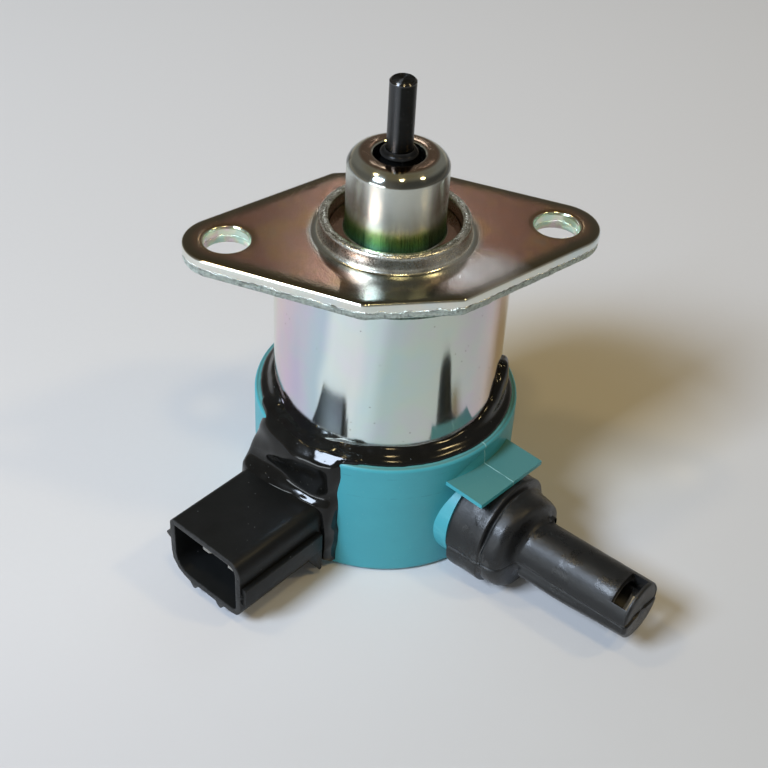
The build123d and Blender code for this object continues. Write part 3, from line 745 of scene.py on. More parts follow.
def rounded(width, segments, degrees):
    """A modifier step that rounds the edges sharper than an angle."""
    return "BEVEL", {"width": width, "segments": segments, "limit_method": "ANGLE",
                     "angle_limit": math.radians(degrees)}, None


def prism(outline, low, high):
    """A solid from a flat (x, y) outline between two levels of z."""
    bm = bmesh.new()
    bottom = [bm.verts.new((x, y, low)) for x, y in outline]
    top = [bm.verts.new((x, y, high)) for x, y in outline]
    bridge(bm, bottom, top)
    bm.faces.new(bottom[::-1])
    bm.faces.new(top)
    bmesh.ops.recalc_face_normals(bm, faces=bm.faces)
    return bm


def merge(target, source):
    """Adds one bmesh to another."""
    mesh = to_mesh("merge", source)
    target.from_mesh(mesh)
    bpy.data.meshes.remove(mesh)


# Vent boot
# The boot's outline as (reach, radius), and its hollow
CUFF = [(23.42, 8.2), (23.50, 8.95), (23.80, 9.30), (24.30, 9.40), (27.00, 9.37), (29.80, 9.40),
        (30.18, 9.33)]
GROOVE = [(30.38, 9.05), (30.55, 8.60), (30.78, 8.45), (30.98, 8.62), (31.08, 9.02)]
BULGE = [(31.35, 9.16), (31.80, 9.20), (32.60, 9.14), (33.20, 9.00), (33.70, 8.76), (34.10, 8.40),
         (34.40, 7.85), (34.60, 7.20), (34.78, 6.50), (34.98, 5.86), (35.25, 5.36), (35.65, 5.08)]
TUBE = [(36.30, 4.95), (38.50, 4.92), (45.00, 4.92), (52.00, 4.92), (56.00, 4.92), (56.45, 4.86),
        (56.78, 4.62), (56.95, 4.20), (57.00, 3.60)]
TUBE_FACE = [(57.0, 2.4), (57.0, 1.2)]
HOLLOW = [(23.45, 5.62), (32.5, 5.55), (32.5, 3.3), (56.1, 3.3)]
SEAM_LOW = 186.0
SEAM_HIGH = 354.0


def boot_form(reach, radius, angle):
    """The boot's real radius and reach at an angle: halves, seam, fading groove and a small nub."""
    seam = min(abs(angle - SEAM_LOW), abs(angle - SEAM_HIGH))
    upper = angle < SEAM_LOW or angle > SEAM_HIGH
    turn = math.radians(angle)
    here = Vector((reach * 0.30, math.cos(turn) * 2.0, math.sin(turn) * 2.0))
    low_side = between([(188.0, 0.0), (204.0, 1.0), (232.0, 1.0), (262.0, 0.0)], angle)
    high_side = bell(angle, 45.0, 58.0)
    grown, moved = radius, reach
    if 29.9 < reach < 31.3:
        fade = between([(152.0, 0.0), (176.0, 0.85), (196.0, 0.80), (215.0, 0.0)], angle)
        grown += (9.30 - radius) * fade
    if radius > 4.0:
        grown -= 0.16 * bell(seam, 0.0, math.degrees(0.16 / radius))
        grown += 0.0 if upper else 0.06
    if reach < 36.0 and radius > 6.5:
        grown += 0.0 if upper else 0.16
        grown += 0.13 * noise.noise(here) + 0.05 * noise.noise(here * 2.7)
        grown -= 0.22 * bell(reach, 28.8, 0.30) * bell(angle, 172.0, 12.0)
    if reach < 30.3:
        grown += 0.35 * low_side + 0.40 * bell(angle, 40.0, 26.0)
    elif reach < 36.3 and radius > 5.0:
        swollen = high_side * min(1.0, (reach - 30.3) / 1.6)
        grown -= 1.15 * swollen * unit((radius - 4.95) / 2.0)
        moved += 0.95 * swollen * unit(reach - 33.0)
    if radius < 5.3 and reach > 36.2:
        grown += low_side * between([(36.2, 0.85), (42.0, 0.85), (57.0, 0.35)], reach)
    if not upper and reach < 24.6:
        moved += 0.55 * (24.6 - reach) / 1.2
    grown += bell(angle, 48.0, 9.0) * bell(reach, 36.0, 0.55)
    if reach > 56.7:
        moved -= 0.22 * bell(seam, 0.0, 2.0)
        moved -= 0.28 + 0.10 * (1.0 - radius / 4.2) if upper else 0.0
    if reach > 36.0 and radius > 0.5:
        grown += 0.05 * noise.noise(here * 1.4)
    return grown, moved


def straight_form(reach, radius, angle):
    """The plain hollow of the boot."""
    return radius, reach


def boot_ring(bm, angles, form, reach, radius):
    """A ring of vertices round the boot's axis; form gives each its own radius and reach."""
    loop = []
    for angle in angles:
        turn = math.radians(angle)
        grown, moved = form(reach, radius, angle)
        loop.append(bm.verts.new((grown * math.cos(turn), grown * math.sin(turn), moved)))
    return loop


def make_boot():
    """The boot: an uneven skin, a hollow and a slot across the end of the tube."""
    beside_seams = {seam + aside for seam in (SEAM_LOW, SEAM_HIGH) for aside in (-1.4, -0.7, 0.7, 1.4)}
    angles = sorted({i * 3.0 for i in range(120)} | beside_seams)
    bm = bmesh.new()
    line = smooth_line(CUFF + GROOVE + BULGE + TUBE, 3) + TUBE_FACE
    outer = [boot_ring(bm, angles, boot_form, *place) for place in line]
    skin(bm, outer)
    cap(bm, outer[-1], (0, 0, 56.72))
    inner = [boot_ring(bm, angles, straight_form, *place) for place in HOLLOW]
    bridge(bm, outer[0], inner[0])
    skin(bm, inner)
    cap(bm, inner[-1], (0, 0, 56.1))
    bmesh.ops.recalc_face_normals(bm, faces=bm.faces)
    slot = prism([(-3.2, -9.0), (3.2, -9.0), (3.2, 9.0), (-3.2, 9.0)], 53.2, 56.1)
    bmesh.ops.transform(slot, matrix=Matrix.Rotation(math.radians(16.5), 4, "Z"), verts=slot.verts)
    bm = with_modifiers(bm, [cut(slot), rounded(0.16, 2, 50)])
    place = side_matrix(BOOT_AZIMUTH, BOOT_SIDE, BOOT_LEVEL)
    finish_piece("vent_boot_moulding", bm, "boot_rubber", "vent_boot", place, crisp=50.0)


# Connector housing
CONNECTOR = side_matrix(CONNECTOR_AZIMUTH)
RAIL = [(6.9, -45.35), (8.30, -45.35), (8.45, -45.50), (8.45, -48.90), (8.30, -49.05), (6.9, -49.05)]
GUSSET = [(24.8, -53.35), (24.8, -46.8), (28.1, -46.8), (28.1, -49.05), (25.35, -53.50), (25.05, -53.55)]
BLOBS = [(7.35, -46.9, 0.34), (7.55, -47.3, 0.26), (7.30, -46.5, 0.22), (7.25, -45.9, 0.18),
         (2.3, -53.2, 0.24), (1.9, -53.4, 0.18), (-3.9, -53.3, 0.16)]


def arc(cx, cy, radius, start, end, steps=8):
    """Points along a round corner between two angles in degrees."""
    turns = [math.radians(start + (end - start) * i / steps) for i in range(steps + 1)]
    return [(cx + radius * math.cos(turn), cy + radius * math.sin(turn)) for turn in turns]


def housing_outline(inset, ribs):
    """The housing's section, seen from outside: sideways and up, clockwise from the top left."""
    left, right = CONNECTOR_LEFT + inset, CONNECTOR_RIGHT - inset
    high, low = CONNECTOR_TOP - inset, CONNECTOR_BOTTOM + inset
    tl, tr, ll, lr = (max(0.3, r - inset) for r in (1.2, 2.6, 4.5, 2.2))
    line = arc(left + tl, high - tl, tl, 180, 90) + arc(right - tr, high - tr, tr, 90, 0)
    line += arc(right - lr, low + lr, lr, 0, -90)
    if ribs:
        for middle in (2.35, -3.95):
            line += [(middle + x, low - drop) for x, drop in
                     ((1.05, 0.0), (0.28, 1.0), (0.0, 1.1), (-0.28, 1.0), (-1.05, 0.0))]
    line += arc(left + ll, low + ll, ll, -90, -180)
    if ribs:
        line += [(left - out, y) for out, y in
                 ((0.0, -45.05), (0.85, -44.55), (0.95, -44.2), (0.80, -43.9), (0.0, -43.35))]
    return line


def make_gusset():
    bm = bmesh.new()
    sides = [[bm.verts.new((across, y, z)) for z, y in GUSSET] for across in (6.45, 8.40)]
    bridge(bm, sides[0], sides[1])
    bm.faces.new(sides[0])
    bm.faces.new(sides[1][::-1])
    return bm


def make_blobs():
    """Crumbs of moulding flash along the mouth's edge."""
    bm = bmesh.new()
    for x, y, size in BLOBS:
        for vert in bmesh.ops.create_icosphere(bm, subdivisions=3, radius=size)["verts"]:
            vert.co *= 1.0 + 0.8 * noise.noise(vert.co * 3.0 + Vector((x, y, 0)))
            vert.co += Vector((x, y, 42.75))
    return bm


def make_connector():
    """The socket with its rail, gusset, ribs, rounded edges and a slightly ragged mouth."""
    shell = prism(housing_outline(0.0, True), 20.6, CONNECTOR_MOUTH)
    shell = with_modifiers(shell, [cut(prism(housing_outline(1.1, False), 31.05, 44.0))])
    merge(shell, prism(RAIL, 24.8, 42.65))
    merge(shell, make_gusset())
    bmesh.ops.recalc_face_normals(shell, faces=shell.faces)
    shell = with_modifiers(shell, [rounded(0.18, 3, 38)])
    for vert in shell.verts:
        if vert.co.z > 42.6:
            ragged = noise.noise(vert.co * 1.3) + 0.6 * noise.noise(vert.co * 4.0)
            vert.co.z -= 0.05 + 0.07 * ragged
    merge(shell, make_blobs())
    finish_piece("connector_moulding", shell, "connector_plastic", "connector_housing", CONNECTOR, crisp=38.0)


# Sealant
# Its top line on the can as (azimuth, level), its side lines on the cup as (level, azimuth), and
# its thickness by the distance from its outline
CAN_LINE = [(-180, -28.4), (-173, -28.3), (-167, -29.0), (-160, -30.1), (-149, -30.4), (-140, -30.5),
            (-131, -30.5), (-126, -30.1), (-122, -29.6), (-113, -29.5), (-102, -29.0), (-90, -29.2),
            (-70, -29.1), (-50, -28.6), (-36, -27.2), (-27, -24.6), (-20, -22.8), (-12, -23.6),
            (-2, -26.6), (15, -28.6), (60, -29.2), (110, -29.0), (150, -28.4), (180, -28.6)]
SKIRT_RIGHT = [(-54.6, -119.0), (-50.0, -118.2), (-44.0, -117.6), (-39.0, -118.6), (-34.0, -117.4),
               (-30.0, -116.5)]
SKIRT_LEFT = [(-54.6, -168.0), (-43.5, -170.0), (-36.0, -168.0), (-31.0, -163.0)]
SKIRT_EDGE = [(-0.5, -0.5), (0.0, 0.10), (0.30, 0.55), (1.1, 0.95), (3.0, 1.0)]
ROOT_LINE = [(-8.6, -40.6, 24.0), (-5.0, -40.2, 24.6), (-1.0, -40.25, 24.9), (3.0, -40.3, 24.9),
             (6.0, -40.6, 24.4), (7.4, -42.0, 23.2), (7.9, -44.0, 22.2)]
BEAD_COUNT = 540


def sealant_bead():
    """A closed ring: its outer line climbs the can, dips and spreads over the cup's rim."""
    bm = bmesh.new()
    loops = []
    for i in range(BEAD_COUNT):
        angle = -180.0 + i * 360.0 / BEAD_COUNT
        turn = math.radians(angle)
        here = Vector((math.cos(turn) * 3.2, math.sin(turn) * 3.2, 0.0))
        soft = noise.noise(here * 0.9)
        small = noise.noise(here * 2.0 + Vector((7, 3, 1)))
        top = between(CAN_LINE, angle) + 0.12 * small
        swell = max(0.0, (top + 29.3)) * 0.14
        edge = 22.34 + 0.16 * soft + 0.08 * small
        crest = max(-30.85, min(top - 0.30, -30.25 + 0.22 * soft))
        ridge = 0.08 * noise.noise(here * 0.7 + Vector((1, 8, 2)))
        points = [(18.90, top + 0.30), (19.70, top + 0.10), (20.05 + swell, top - 0.22),
                  (20.35 + swell, min(top - 0.50, -29.5 + swell * 3)),
                  (20.60, crest + 0.16 + ridge), (21.10, crest - 0.02), (21.70, crest - 0.22 - ridge),
                  (edge - 0.15, -30.85), (edge, -31.22), (edge - 0.35, -31.55), (21.35, -31.9),
                  (21.35, -35.0), (18.90, -35.0), (18.90, min(-32.6, top - 0.6))]
        loops.append([bm.verts.new((r * math.cos(turn), r * math.sin(turn), z)) for r, z in points])
    for i, loop in enumerate(loops):
        bridge(bm, loop, loops[(i + 1) % len(loops)])
    bmesh.ops.recalc_face_normals(bm, faces=bm.faces)
    return bm


def sealant_depth(angle, z):
    """How far the compound stands off the cup's wall at an azimuth and level; below zero it is absent."""
    here = Vector((angle * 0.4, z, 0.0))
    ragged = 0.55 * noise.noise(here * 0.5) + 0.22 * noise.noise(here * 1.7 + Vector((3, 1, 0)))
    room = min(between(SKIRT_RIGHT, z) - angle, angle - between(SKIRT_LEFT, z)) * 0.4 + ragged
    room = min(room, (z + 54.55) * 0.8 + ragged * 0.5)
    beside_rail = unit((angle + 124.0) / 4.0) * unit((-41.0 - z) / 2.0)
    thick = between(SKIRT_EDGE, room) * (1.0 + 0.9 * beside_rail)
    if thick <= 0.0:
        return thick
    turn = angle - CONNECTOR_AZIMUTH
    sideways = CUP_RADIUS * math.sin(math.radians(turn))
    beside = max(CONNECTOR_LEFT - sideways, sideways - CONNECTOR_RIGHT, 0.0)
    over = max(z - CONNECTOR_TOP, CONNECTOR_BOTTOM - z, 0.0)
    leftward = unit((3.0 - sideways) / 10.0)
    reach = 1.7 + 2.9 * leftward
    fillet = (1.1 + 2.4 * leftward) * max(0.0, 1.0 - math.hypot(beside, over) / reach) ** 2
    level = z - 0.12 * turn
    folds = 0.75 * bell(level, -34.4, 1.3) - 0.30 * bell(level, -36.9, 0.8)
    lump = 0.22 * noise.noise(here * 0.35 + Vector((0, 0, 5)))
    depth = thick * (0.95 + lump + folds * (0.4 + 0.6 * leftward)) + fillet * min(1.0, thick)
    rise = max(0.0, z + 33.4) / 2.1
    return depth * math.sqrt(max(0.0, 1.0 - min(1.0, rise) ** 2)) - 0.5 * rise ** 2


def sealant_skirt():
    """The compound that runs down the cup's wall round the connector's root."""
    bm = bmesh.new()
    outer, inner = [], []
    for row in range(98):
        z = -30.2 - row * 0.25
        first, second = [], []
        for column in range(141):
            angle = -172.0 + column * 0.44
            turn = math.radians(angle)
            radius = CUP_RADIUS + sealant_depth(angle, z)
            first.append(bm.verts.new((radius * math.cos(turn), radius * math.sin(turn), z)))
            second.append(bm.verts.new((21.9 * math.cos(turn), 21.9 * math.sin(turn), z)))
        outer.append(first)
        inner.append(second)
    skin(bm, outer, closed=False)
    skin(bm, inner, closed=False)
    for end in (0, -1):
        bridge(bm, outer[end], inner[end], closed=False)
    for end in (0, -1):
        bridge(bm, [row[end] for row in outer], [row[end] for row in inner], closed=False)
    bmesh.ops.recalc_face_normals(bm, faces=bm.faces)
    return bm


def tube(rings):
    """A closed tube through rings of points."""
    bm = bmesh.new()
    loops = [[bm.verts.new(point) for point in ring] for ring in rings]
    skin(bm, loops)
    bm.faces.new(loops[0][::-1])
    bm.faces.new(loops[-1])
    bmesh.ops.recalc_face_normals(bm, faces=bm.faces)
    return bm


def ring_points(centre, side, up, radius, count):
    """Points round a centre in the plane of side and up."""
    turns = (2 * math.pi * k / count for k in range(count))
    return [centre + (side * math.cos(turn) + up * math.sin(turn)) * radius for turn in turns]


def root_fillet():
    """A lumpy rope of compound along the connector's root."""
    points = [CONNECTOR @ Vector(point) for point in smooth_line(ROOT_LINE, 6)]
    rings = []
    for i, point in enumerate(points):
        ahead = points[min(i + 1, len(points) - 1)] - points[max(i - 1, 0)]
        ahead.normalize()
        side = ahead.cross(Vector((0, 0, 1)) if abs(ahead.z) < 0.9 else Vector((1, 0, 0)))
        side.normalize()
        radius = 0.55 + 0.2 * noise.noise(Vector((i * 0.3, 0, 2)))
        rings.append(ring_points(point, side, side.cross(ahead), radius, 10))
    return tube(rings)


def make_sealant():
    """The bead round the can, the skirt and the fillet, melted into one smooth skin."""
    bm = sealant_bead()
    merge(bm, sealant_skirt())
    merge(bm, root_fillet())
    bm = with_modifiers(bm, [("REMESH", {"mode": "VOXEL", "voxel_size": 0.26, "adaptivity": 0.0}, None),
                             ("SMOOTH", {"factor": 0.5, "iterations": 60}, None)])
    finish_piece("sealant_compound", bm, "sealant_black", "sealant", crisp=180.0)


# Mounting flange
TIP_COUNT = 30
LINE_COUNT = 56
CORNER_COUNT = 10


def round_point(cx, cy, radius, turn):
    """A point on a circle, and its direction outwards."""
    nx, ny = math.cos(turn), math.sin(turn)
    return (cx + radius * nx, cy + radius * ny), (nx, ny)


def flange_edge():
    """Points and outward directions round the flange's outline."""
    nx, ny, _ = SIDE_LINE
    tilt = math.degrees(math.atan2(ny, nx))
    quarter = [round_point(HOLE_X, 0.0, TIP_RADIUS, math.radians(tilt * i / TIP_COUNT))
               for i in range(TIP_COUNT + 1)]
    start = Vector((HOLE_X + TIP_RADIUS * nx, TIP_RADIUS * ny))
    end = Vector((CORNER_X + CORNER_RADIUS * nx, CORNER_Y + CORNER_RADIUS * ny))
    quarter += [(tuple(start.lerp(end, i / LINE_COUNT)), (nx, ny)) for i in range(1, LINE_COUNT)]
    quarter += [round_point(CORNER_X, CORNER_Y, CORNER_RADIUS,
                            math.radians(tilt + (90.0 - tilt) * i / CORNER_COUNT))
                for i in range(CORNER_COUNT + 1)]
    quarter += [((CORNER_X * (1 - i / 10), FLAT_Y), (0.0, 1.0)) for i in range(1, 11)]
    half = quarter + [((-p[0], p[1]), (-n[0], n[1])) for p, n in quarter[-2::-1]]
    return half + [((-p[0], -p[1]), (-n[0], -n[1])) for p, n in half[1:-1]]


def ring_loop(bm, radius, z, count, x=0.0, rough=None):
    """A level ring of vertices; rough(turn, radius, z) may give each its own radius and level."""
    loop = []
    for i in range(count):
        turn = 2 * math.pi * i / count
        grown, level = radius, z
        if rough:
            grown, level = rough(turn, radius, z)
        loop.append(bm.verts.new((x + grown * math.cos(turn), grown * math.sin(turn), level)))
    return loop


def fill_between(bm, outline, holes, z):
    """Flat faces between an outline loop and round hole loops that lie in one plane."""
    loops = [outline] + holes
    verts = [vert for loop in loops for vert in loop]
    edges, base = [], 0
    for loop in loops:
        edges += [(base + i, base + (i + 1) % len(loop)) for i in range(len(loop))]
        base += len(loop)
    rounds = [(sum(v.co.x for v in hole) / len(hole), max(abs(v.co.x - hole[0].co.x) for v in hole) / 2)
              for hole in holes]

    def inside(x, y):
        """Tells whether a point lies well inside the plate's outline and outside its holes."""
        if any(math.hypot(x - cx, y) < radius + 0.5 for cx, radius in rounds):
            return False
        nx, ny, c = SIDE_LINE
        past_hole = abs(x) - HOLE_X
        in_tip = past_hole < 0.0 or math.hypot(past_hole, y) < 4.9
        return nx * abs(x) + ny * abs(y) < c - 2.4 and abs(y) < 17.2 and in_tip

    grid = [(x * 1.5, y * 1.5) for x in range(-22, 23) for y in range(-13, 14)]
    points = [Vector((v.co.x, v.co.y)) for v in verts] + [Vector(place) for place in grid if inside(*place)]
    found, _, faces, _, _, _ = delaunay_2d_cdt(points, edges, [], 1, 1e-5)
    made = verts + [bm.verts.new((place.x, place.y, z)) for place in found[len(verts):]]
    for face in faces:
        x = sum(found[i].x for i in face) / len(face)
        y = sum(found[i].y for i in face) / len(face)
        if not any(math.hypot(x - cx, y) < radius * 0.995 for cx, radius in rounds):
            bm.faces.new([made[i] for i in face])


# The plate's side as (inset, level, how torn), its holes as (radius, level), and its collar as
# (radius, level, chipped or not)
PLATE_SIDE = [(0.55, -3.2, 0.0), (0.30, -3.14, 0.0), (0.10, -2.95, 0.08), (0.02, -2.75, 0.22),
              (0.0, -2.50, 0.26), (0.0, -2.25, 0.26), (0.0, -2.05, 0.20), (0.0, -1.92, 0.02),
              (0.0, -1.50, 0.0), (0.0, -1.00, 0.0), (0.0, -0.62, 0.0), (0.03, -0.44, 0.0), (0.12, -0.28, 0.0),
              (0.30, -0.16, 0.0), (0.62, -0.075, 0.0), (1.10, -0.022, 0.0), (1.65, 0.0, 0.0)]
SCREW_HOLE = [(4.75, 0.0), (4.40, -0.02), (4.08, -0.09), (3.88, -0.22), (3.78, -0.42), (HOLE_RADIUS, -0.65),
              (HOLE_RADIUS, -1.6), (3.78, -2.0), (3.86, -2.3), (3.88, -3.0), (3.98, FLANGE_BOTTOM)]
COLLAR = [(13.6, 0.0, 0), (13.3, 0.012, 0), (13.05, 0.06, 0), (12.8, 0.17, 0), (12.6, 0.34, 0),
          (12.44, 0.62, 0), (12.35, 1.0, 0), (12.31, 1.6, 0), (12.31, 2.3, 0), (12.30, 2.75, 0),
          (12.18, 3.00, 1), (11.95, 3.13, 1), (11.5, 3.17, 1), (11.1, 3.14, 1), (10.90, 3.02, 1),
          (10.78, 2.78, 0), (COLLAR_BORE, 2.4, 0), (COLLAR_BORE, 1.0, 0), (COLLAR_BORE, FLANGE_BOTTOM, 0)]


def plate_loop(bm, edge, inset, z, torn):
    """A loop round the plate's side; where it is torn, it is rough and its level wanders."""
    loop = []
    for (x, y), (nx, ny) in edge:
        here = Vector((x, y, z))
        flat = Vector((x, y, 0.0))
        rough = torn * (0.55 * noise.noise(here * 0.9) + 0.45 * noise.noise(here * 2.6) + 0.35)
        border = 0.30 * noise.noise(flat * 0.33) + 0.12 * noise.noise(flat * 1.4)
        back = inset + max(0.0, rough)
        loop.append(bm.verts.new((x - nx * back, y - ny * back, z + (border if torn else 0.0))))
    return loop


def chipped(turn, radius, z):
    """Chips in the collar's rim."""
    here = Vector((math.cos(turn) * 12, math.sin(turn) * 12, z))
    rough = noise.noise(here * 0.8) * 0.6 + noise.noise(here * 2.4) * 0.5
    return radius, z - max(0.0, rough) * 0.07


def make_flange():
    """The plate with its torn edge, its two holes and the drawn collar."""
    bm = bmesh.new()
    edge = flange_edge()
    side = [plate_loop(bm, edge, *level) for level in PLATE_SIDE]
    skin(bm, side)
    tops, bottoms = [], []
    for x in (-HOLE_X, HOLE_X):
        rings = [ring_loop(bm, radius, z, 72, x) for radius, z in SCREW_HOLE]
        skin(bm, rings)
        tops.append(rings[0])
        bottoms.append(rings[-1])
    rings = [ring_loop(bm, radius, z, 216, 0.0, chipped if chip else None) for radius, z, chip in COLLAR]
    skin(bm, rings)
    fill_between(bm, side[-1], tops + [rings[0]], 0.0)
    fill_between(bm, side[0], bottoms + [rings[-1]], FLANGE_BOTTOM)
    finish_piece("flange_plate", bm, "zinc_flange", "mounting_flange", crisp=40.0)


# Guide nose and seal lip
def make_turned(name, slot, node, profile, count, shape, crisp):
    """A piece turned about Z from (radius, z) points; shape(turn, radius, z) may move a point."""
    bm = bmesh.new()
    rings = [ring_loop(bm, radius, z, count, 0.0, shape) for radius, z in profile]
    skin(bm, rings + rings[:1])
    finish_piece(name, bm, slot, node, crisp=crisp)


# The nose's wall, the arc of its coined shoulder and its bore as (radius, z)
NOSE_WALL = [(9.0, -6.2), (9.0, -3.2), (10.71, -3.2), (10.71, 0.66), (10.62, 0.77), (10.45, 0.80),
             (8.75, 0.80), (8.45, 0.86), (8.28, 1.02), (8.19, 1.35), (8.17, 3.0), (8.175, 6.0), (8.18, 9.0),
             (8.175, 11.2), (8.16, 12.2), (8.15, 12.60)]
NOSE_SHOULDER = [round_point(5.58, 11.80, 2.70, math.radians(18.5 + 71.5 * i / 10))[0] for i in range(11)]
NOSE_BORE = [(4.95, 14.49), (4.50, 14.46), (4.30, 14.40), (4.16, 14.27), (4.09, 14.08), (4.06, 13.8),
             (4.06, 9.0), (4.06, 6.0), (3.62, 6.0), (3.62, -6.2)]
SEAL_LINE = [(2.20, 6.05), (2.20, 14.2), (2.15, 15.10), (2.22, 15.28), (2.40, 15.24), (2.72, 15.06),
             (2.96, 14.84), (3.06, 14.62), (3.02, 14.42), (2.86, 14.26), (2.80, 14.0), (2.84, 13.4),
             (3.10, 12.7), (3.60, 12.3), (3.98, 12.0), (4.02, 11.4), (4.02, 9.70), (2.50, 9.66), (2.50, 8.98),
             (4.02, 8.96), (4.02, 6.05)]


def dented(turn, radius, z):
    """Small dents in the nose's wall and shoulder."""
    here = Vector((math.cos(turn) * 5.0, math.sin(turn) * 5.0, z))
    small = noise.noise(here * 0.6)
    if 1.2 < z < 14.0 and radius > 5.0:
        return radius + 0.022 * small, z
    if radius > 4.2 and z > 14.0:
        return radius, z + 0.015 * small
    return radius, z


def uneven(turn, radius, z):
    """The seal's lip, which isn't quite round."""
    if radius > 2.3 and z > 13.0:
        small = noise.noise(Vector((math.cos(turn) * 2.0, math.sin(turn) * 2.0, z)))
        return radius + 0.05 * small, z + 0.05 * small
    return radius, z


def make_coil(name, node, mean, wire, turns):
    """A coil spring in place of its CAD node."""
    low, high = (corner.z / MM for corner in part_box(node))
    rise = high - low - 2 * wire
    pitch = rise / (2 * math.pi * turns)
    steps = turns * 32
    rings = []
    for i in range(steps + 1):
        turn = 2 * math.pi * turns * i / steps
        outward = Vector((math.cos(turn), math.sin(turn), 0.0))
        along = Vector((-math.sin(turn) * mean, math.cos(turn) * mean, pitch)).normalized()
        centre = outward * mean + Vector((0.0, 0.0, low + wire + rise * i / steps))
        rings.append(ring_points(centre, outward, outward.cross(along), wire, 14))
    piece = finish_piece(name, tube(rings), "spring_steel", node, crisp=50.0)
    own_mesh(piece)


make_coil("return_coil", "return_spring", 3.9, 0.5, 6)
make_coil("contact_coil", "contact_spring", 2.35, 0.35, 4)
make_flange()
make_turned("nose_shell", "zinc_nose", "guide_nose", NOSE_WALL + NOSE_SHOULDER + NOSE_BORE, 160, dented, 17.0)
make_turned("seal_lip", "seal_rubber", "pin_seal", SEAL_LINE, 96, uneven, 60.0)
make_sealant()
make_connector()
make_boot()


# Floor, camera and light
CAMERA_PLACE = (-33.6, -179.68, 117.59)
# Azimuth, elevation and roll
CAMERA_ANGLES = (-10.4818, 39.2737, 3.2336)
FOCAL_PIXELS = 1339.59
FRAME_PIXELS = 768.0
SENSOR = 36.0
LAMP_AIM = Vector((0.0, 0.0, -0.02))
COOL = (0.71, 0.83, 1.0)
WARM = (1.0, 0.76, 0.38)


def floor_paper():
    """Pale paper with painted light: darker to the right and at the front, paler behind, and a painted warm
    bounce beside the object's shadow.
    """
    s = Shader("floor_paper")
    x, y, _ = s.axes
    grain = s.noise(0.9, 3.0)
    paper = s.mix(grain, (0.645, 0.645, 0.655), (0.660, 0.660, 0.670))
    # painted light falloff: darker to the right and at the front, paler behind
    painted_falloff = s.step(s.more(s.times(x, 0.60), s.times(y, -0.80)), -10.0, 115.0)
    paper = s.mix(s.fall(y, -60.0, -15.0), paper, (0.600, 0.600, 0.614))
    paper = s.mix(painted_falloff, paper, (0.520, 0.522, 0.524))
    # painted warm bounce light beside the object's shadow
    warm = s.fall(s.away(40.0, 20.0), 6.0, 44.0)
    paper = s.mix(s.times(warm, 0.55), paper, (0.60, 0.53, 0.36))
    paper = s.mix(s.step(y, 40.0, 260.0), paper, (0.700, 0.705, 0.720))
    s.set(Base_Color=paper, Roughness=0.75, Specular_IOR_Level=0.2)
    return s.mat


def make_floor():
    bm = bmesh.new()
    bmesh.ops.create_grid(bm, x_segments=8, y_segments=8, size=2.5)
    floor = link("floor", to_mesh("floor", bm))
    floor.location.z = FLOOR_LEVEL * MM
    floor.data.materials.append(floor_paper())


def make_camera():
    """The camera that was solved from the photo."""
    azimuth, elevation, roll = (math.radians(angle) for angle in CAMERA_ANGLES)
    forward = Vector((-math.sin(azimuth) * math.cos(elevation), math.cos(azimuth) * math.cos(elevation),
                      -math.sin(elevation)))
    right = Vector((math.cos(azimuth), math.sin(azimuth), 0.0))
    up = right.cross(forward)
    across = right * math.cos(roll) + up * math.sin(roll)
    upward = up * math.cos(roll) - right * math.sin(roll)
    data = bpy.data.cameras.new("camera")
    data.sensor_width = SENSOR
    data.lens = SENSOR * FOCAL_PIXELS / FRAME_PIXELS
    data.clip_start = 0.01
    data.clip_end = 20.0
    camera = link("camera", data)
    turn = Matrix((across, upward, -forward)).transposed().to_4x4()
    camera.matrix_world = Matrix.Translation(Vector(CAMERA_PLACE) * MM) @ turn
    scene.camera = camera


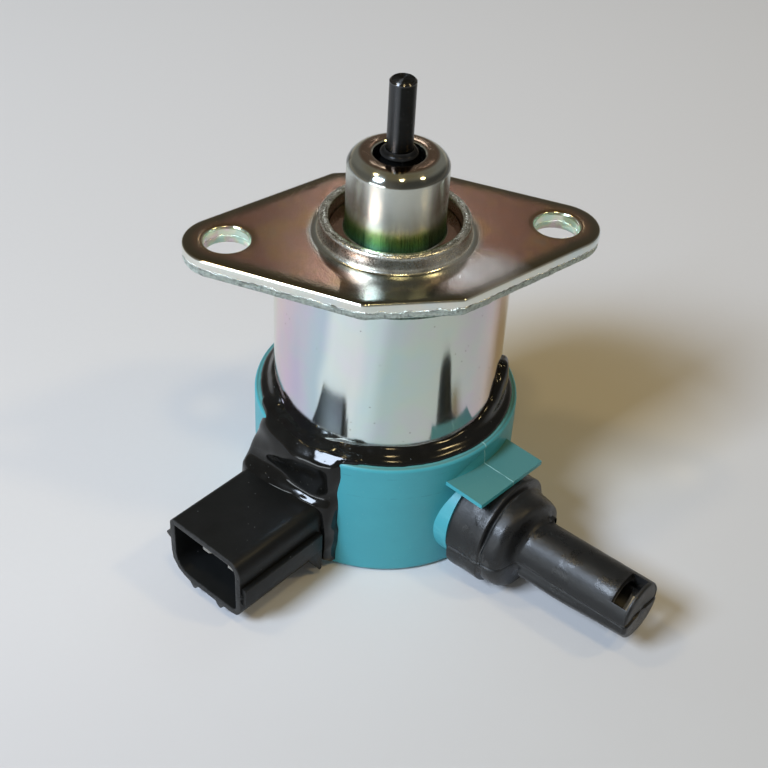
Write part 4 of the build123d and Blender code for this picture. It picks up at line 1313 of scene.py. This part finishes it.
def lamp(name, azimuth, elevation, distance, width, height, colour, level):
    """A lamp that aims at the object. level is the brightness it gives a white floor under it."""
    data = bpy.data.lights.new(name, "AREA")
    data.shape = "RECTANGLE"
    data.size = width
    data.size_y = height
    data.color = colour
    turn, climb = math.radians(azimuth), math.radians(elevation)
    rise, flat = math.sin(climb), math.cos(climb)
    data.energy = level * math.pi ** 2 * distance ** 2 / rise
    place = Vector((math.cos(turn) * flat, math.sin(turn) * flat, rise)) * distance + LAMP_AIM
    item = link(name, data)
    item.location = place
    item.rotation_euler = (place - LAMP_AIM).to_track_quat("Z", "Y").to_euler()


def make_world():
    """A dim warm room, a little brighter at the horizon."""
    world = bpy.data.worlds.new("studio")
    scene.world = world
    world.use_nodes = True
    tree = world.node_tree
    where = tree.nodes.new("ShaderNodeTexCoord")
    parts = tree.nodes.new("ShaderNodeSeparateXYZ")
    ramp = tree.nodes.new("ShaderNodeValToRGB")
    fill_ramp(ramp, [(0.0, (0.44, 0.39, 0.32)), (0.22, (0.18, 0.170, 0.150)), (0.60, (0.18, 0.168, 0.148)),
                     (1.0, (0.15, 0.12, 0.07))])
    tree.links.new(where.outputs["Generated"], parts.inputs[0])
    tree.links.new(parts.outputs[2], ramp.inputs[0])
    tree.links.new(ramp.outputs[0], tree.nodes["Background"].inputs["Color"])


def make_light():
    make_world()
    lamp("key", -151.0, 44.0, 0.95, 0.28, 0.28, COOL, 0.78)
    lamp("window", -144.0, 7.0, 0.90, 0.55, 0.12, (0.86, 0.94, 1.0), 0.030)
    lamp("front_warm", -85.0, 66.0, 0.75, 0.07, 0.07, WARM, 0.11)
    lamp("right_warm", -25.0, 52.0, 0.75, 0.07, 0.07, WARM, 0.09)
    lamp("left_warm", 172.0, 62.0, 0.75, 0.07, 0.07, WARM, 0.09)
    lamp("back_wide", 74.5, 35.8, 0.75, 0.05, 0.03, (1.0, 0.90, 0.86), 0.0007)
    lamp("back_spot", 80.8, 36.2, 0.75, 0.03, 0.03, (0.88, 0.97, 1.0), 0.0048)


scene.view_settings.view_transform = "Standard"
make_floor()
make_camera()
make_light()

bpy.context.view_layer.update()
import json
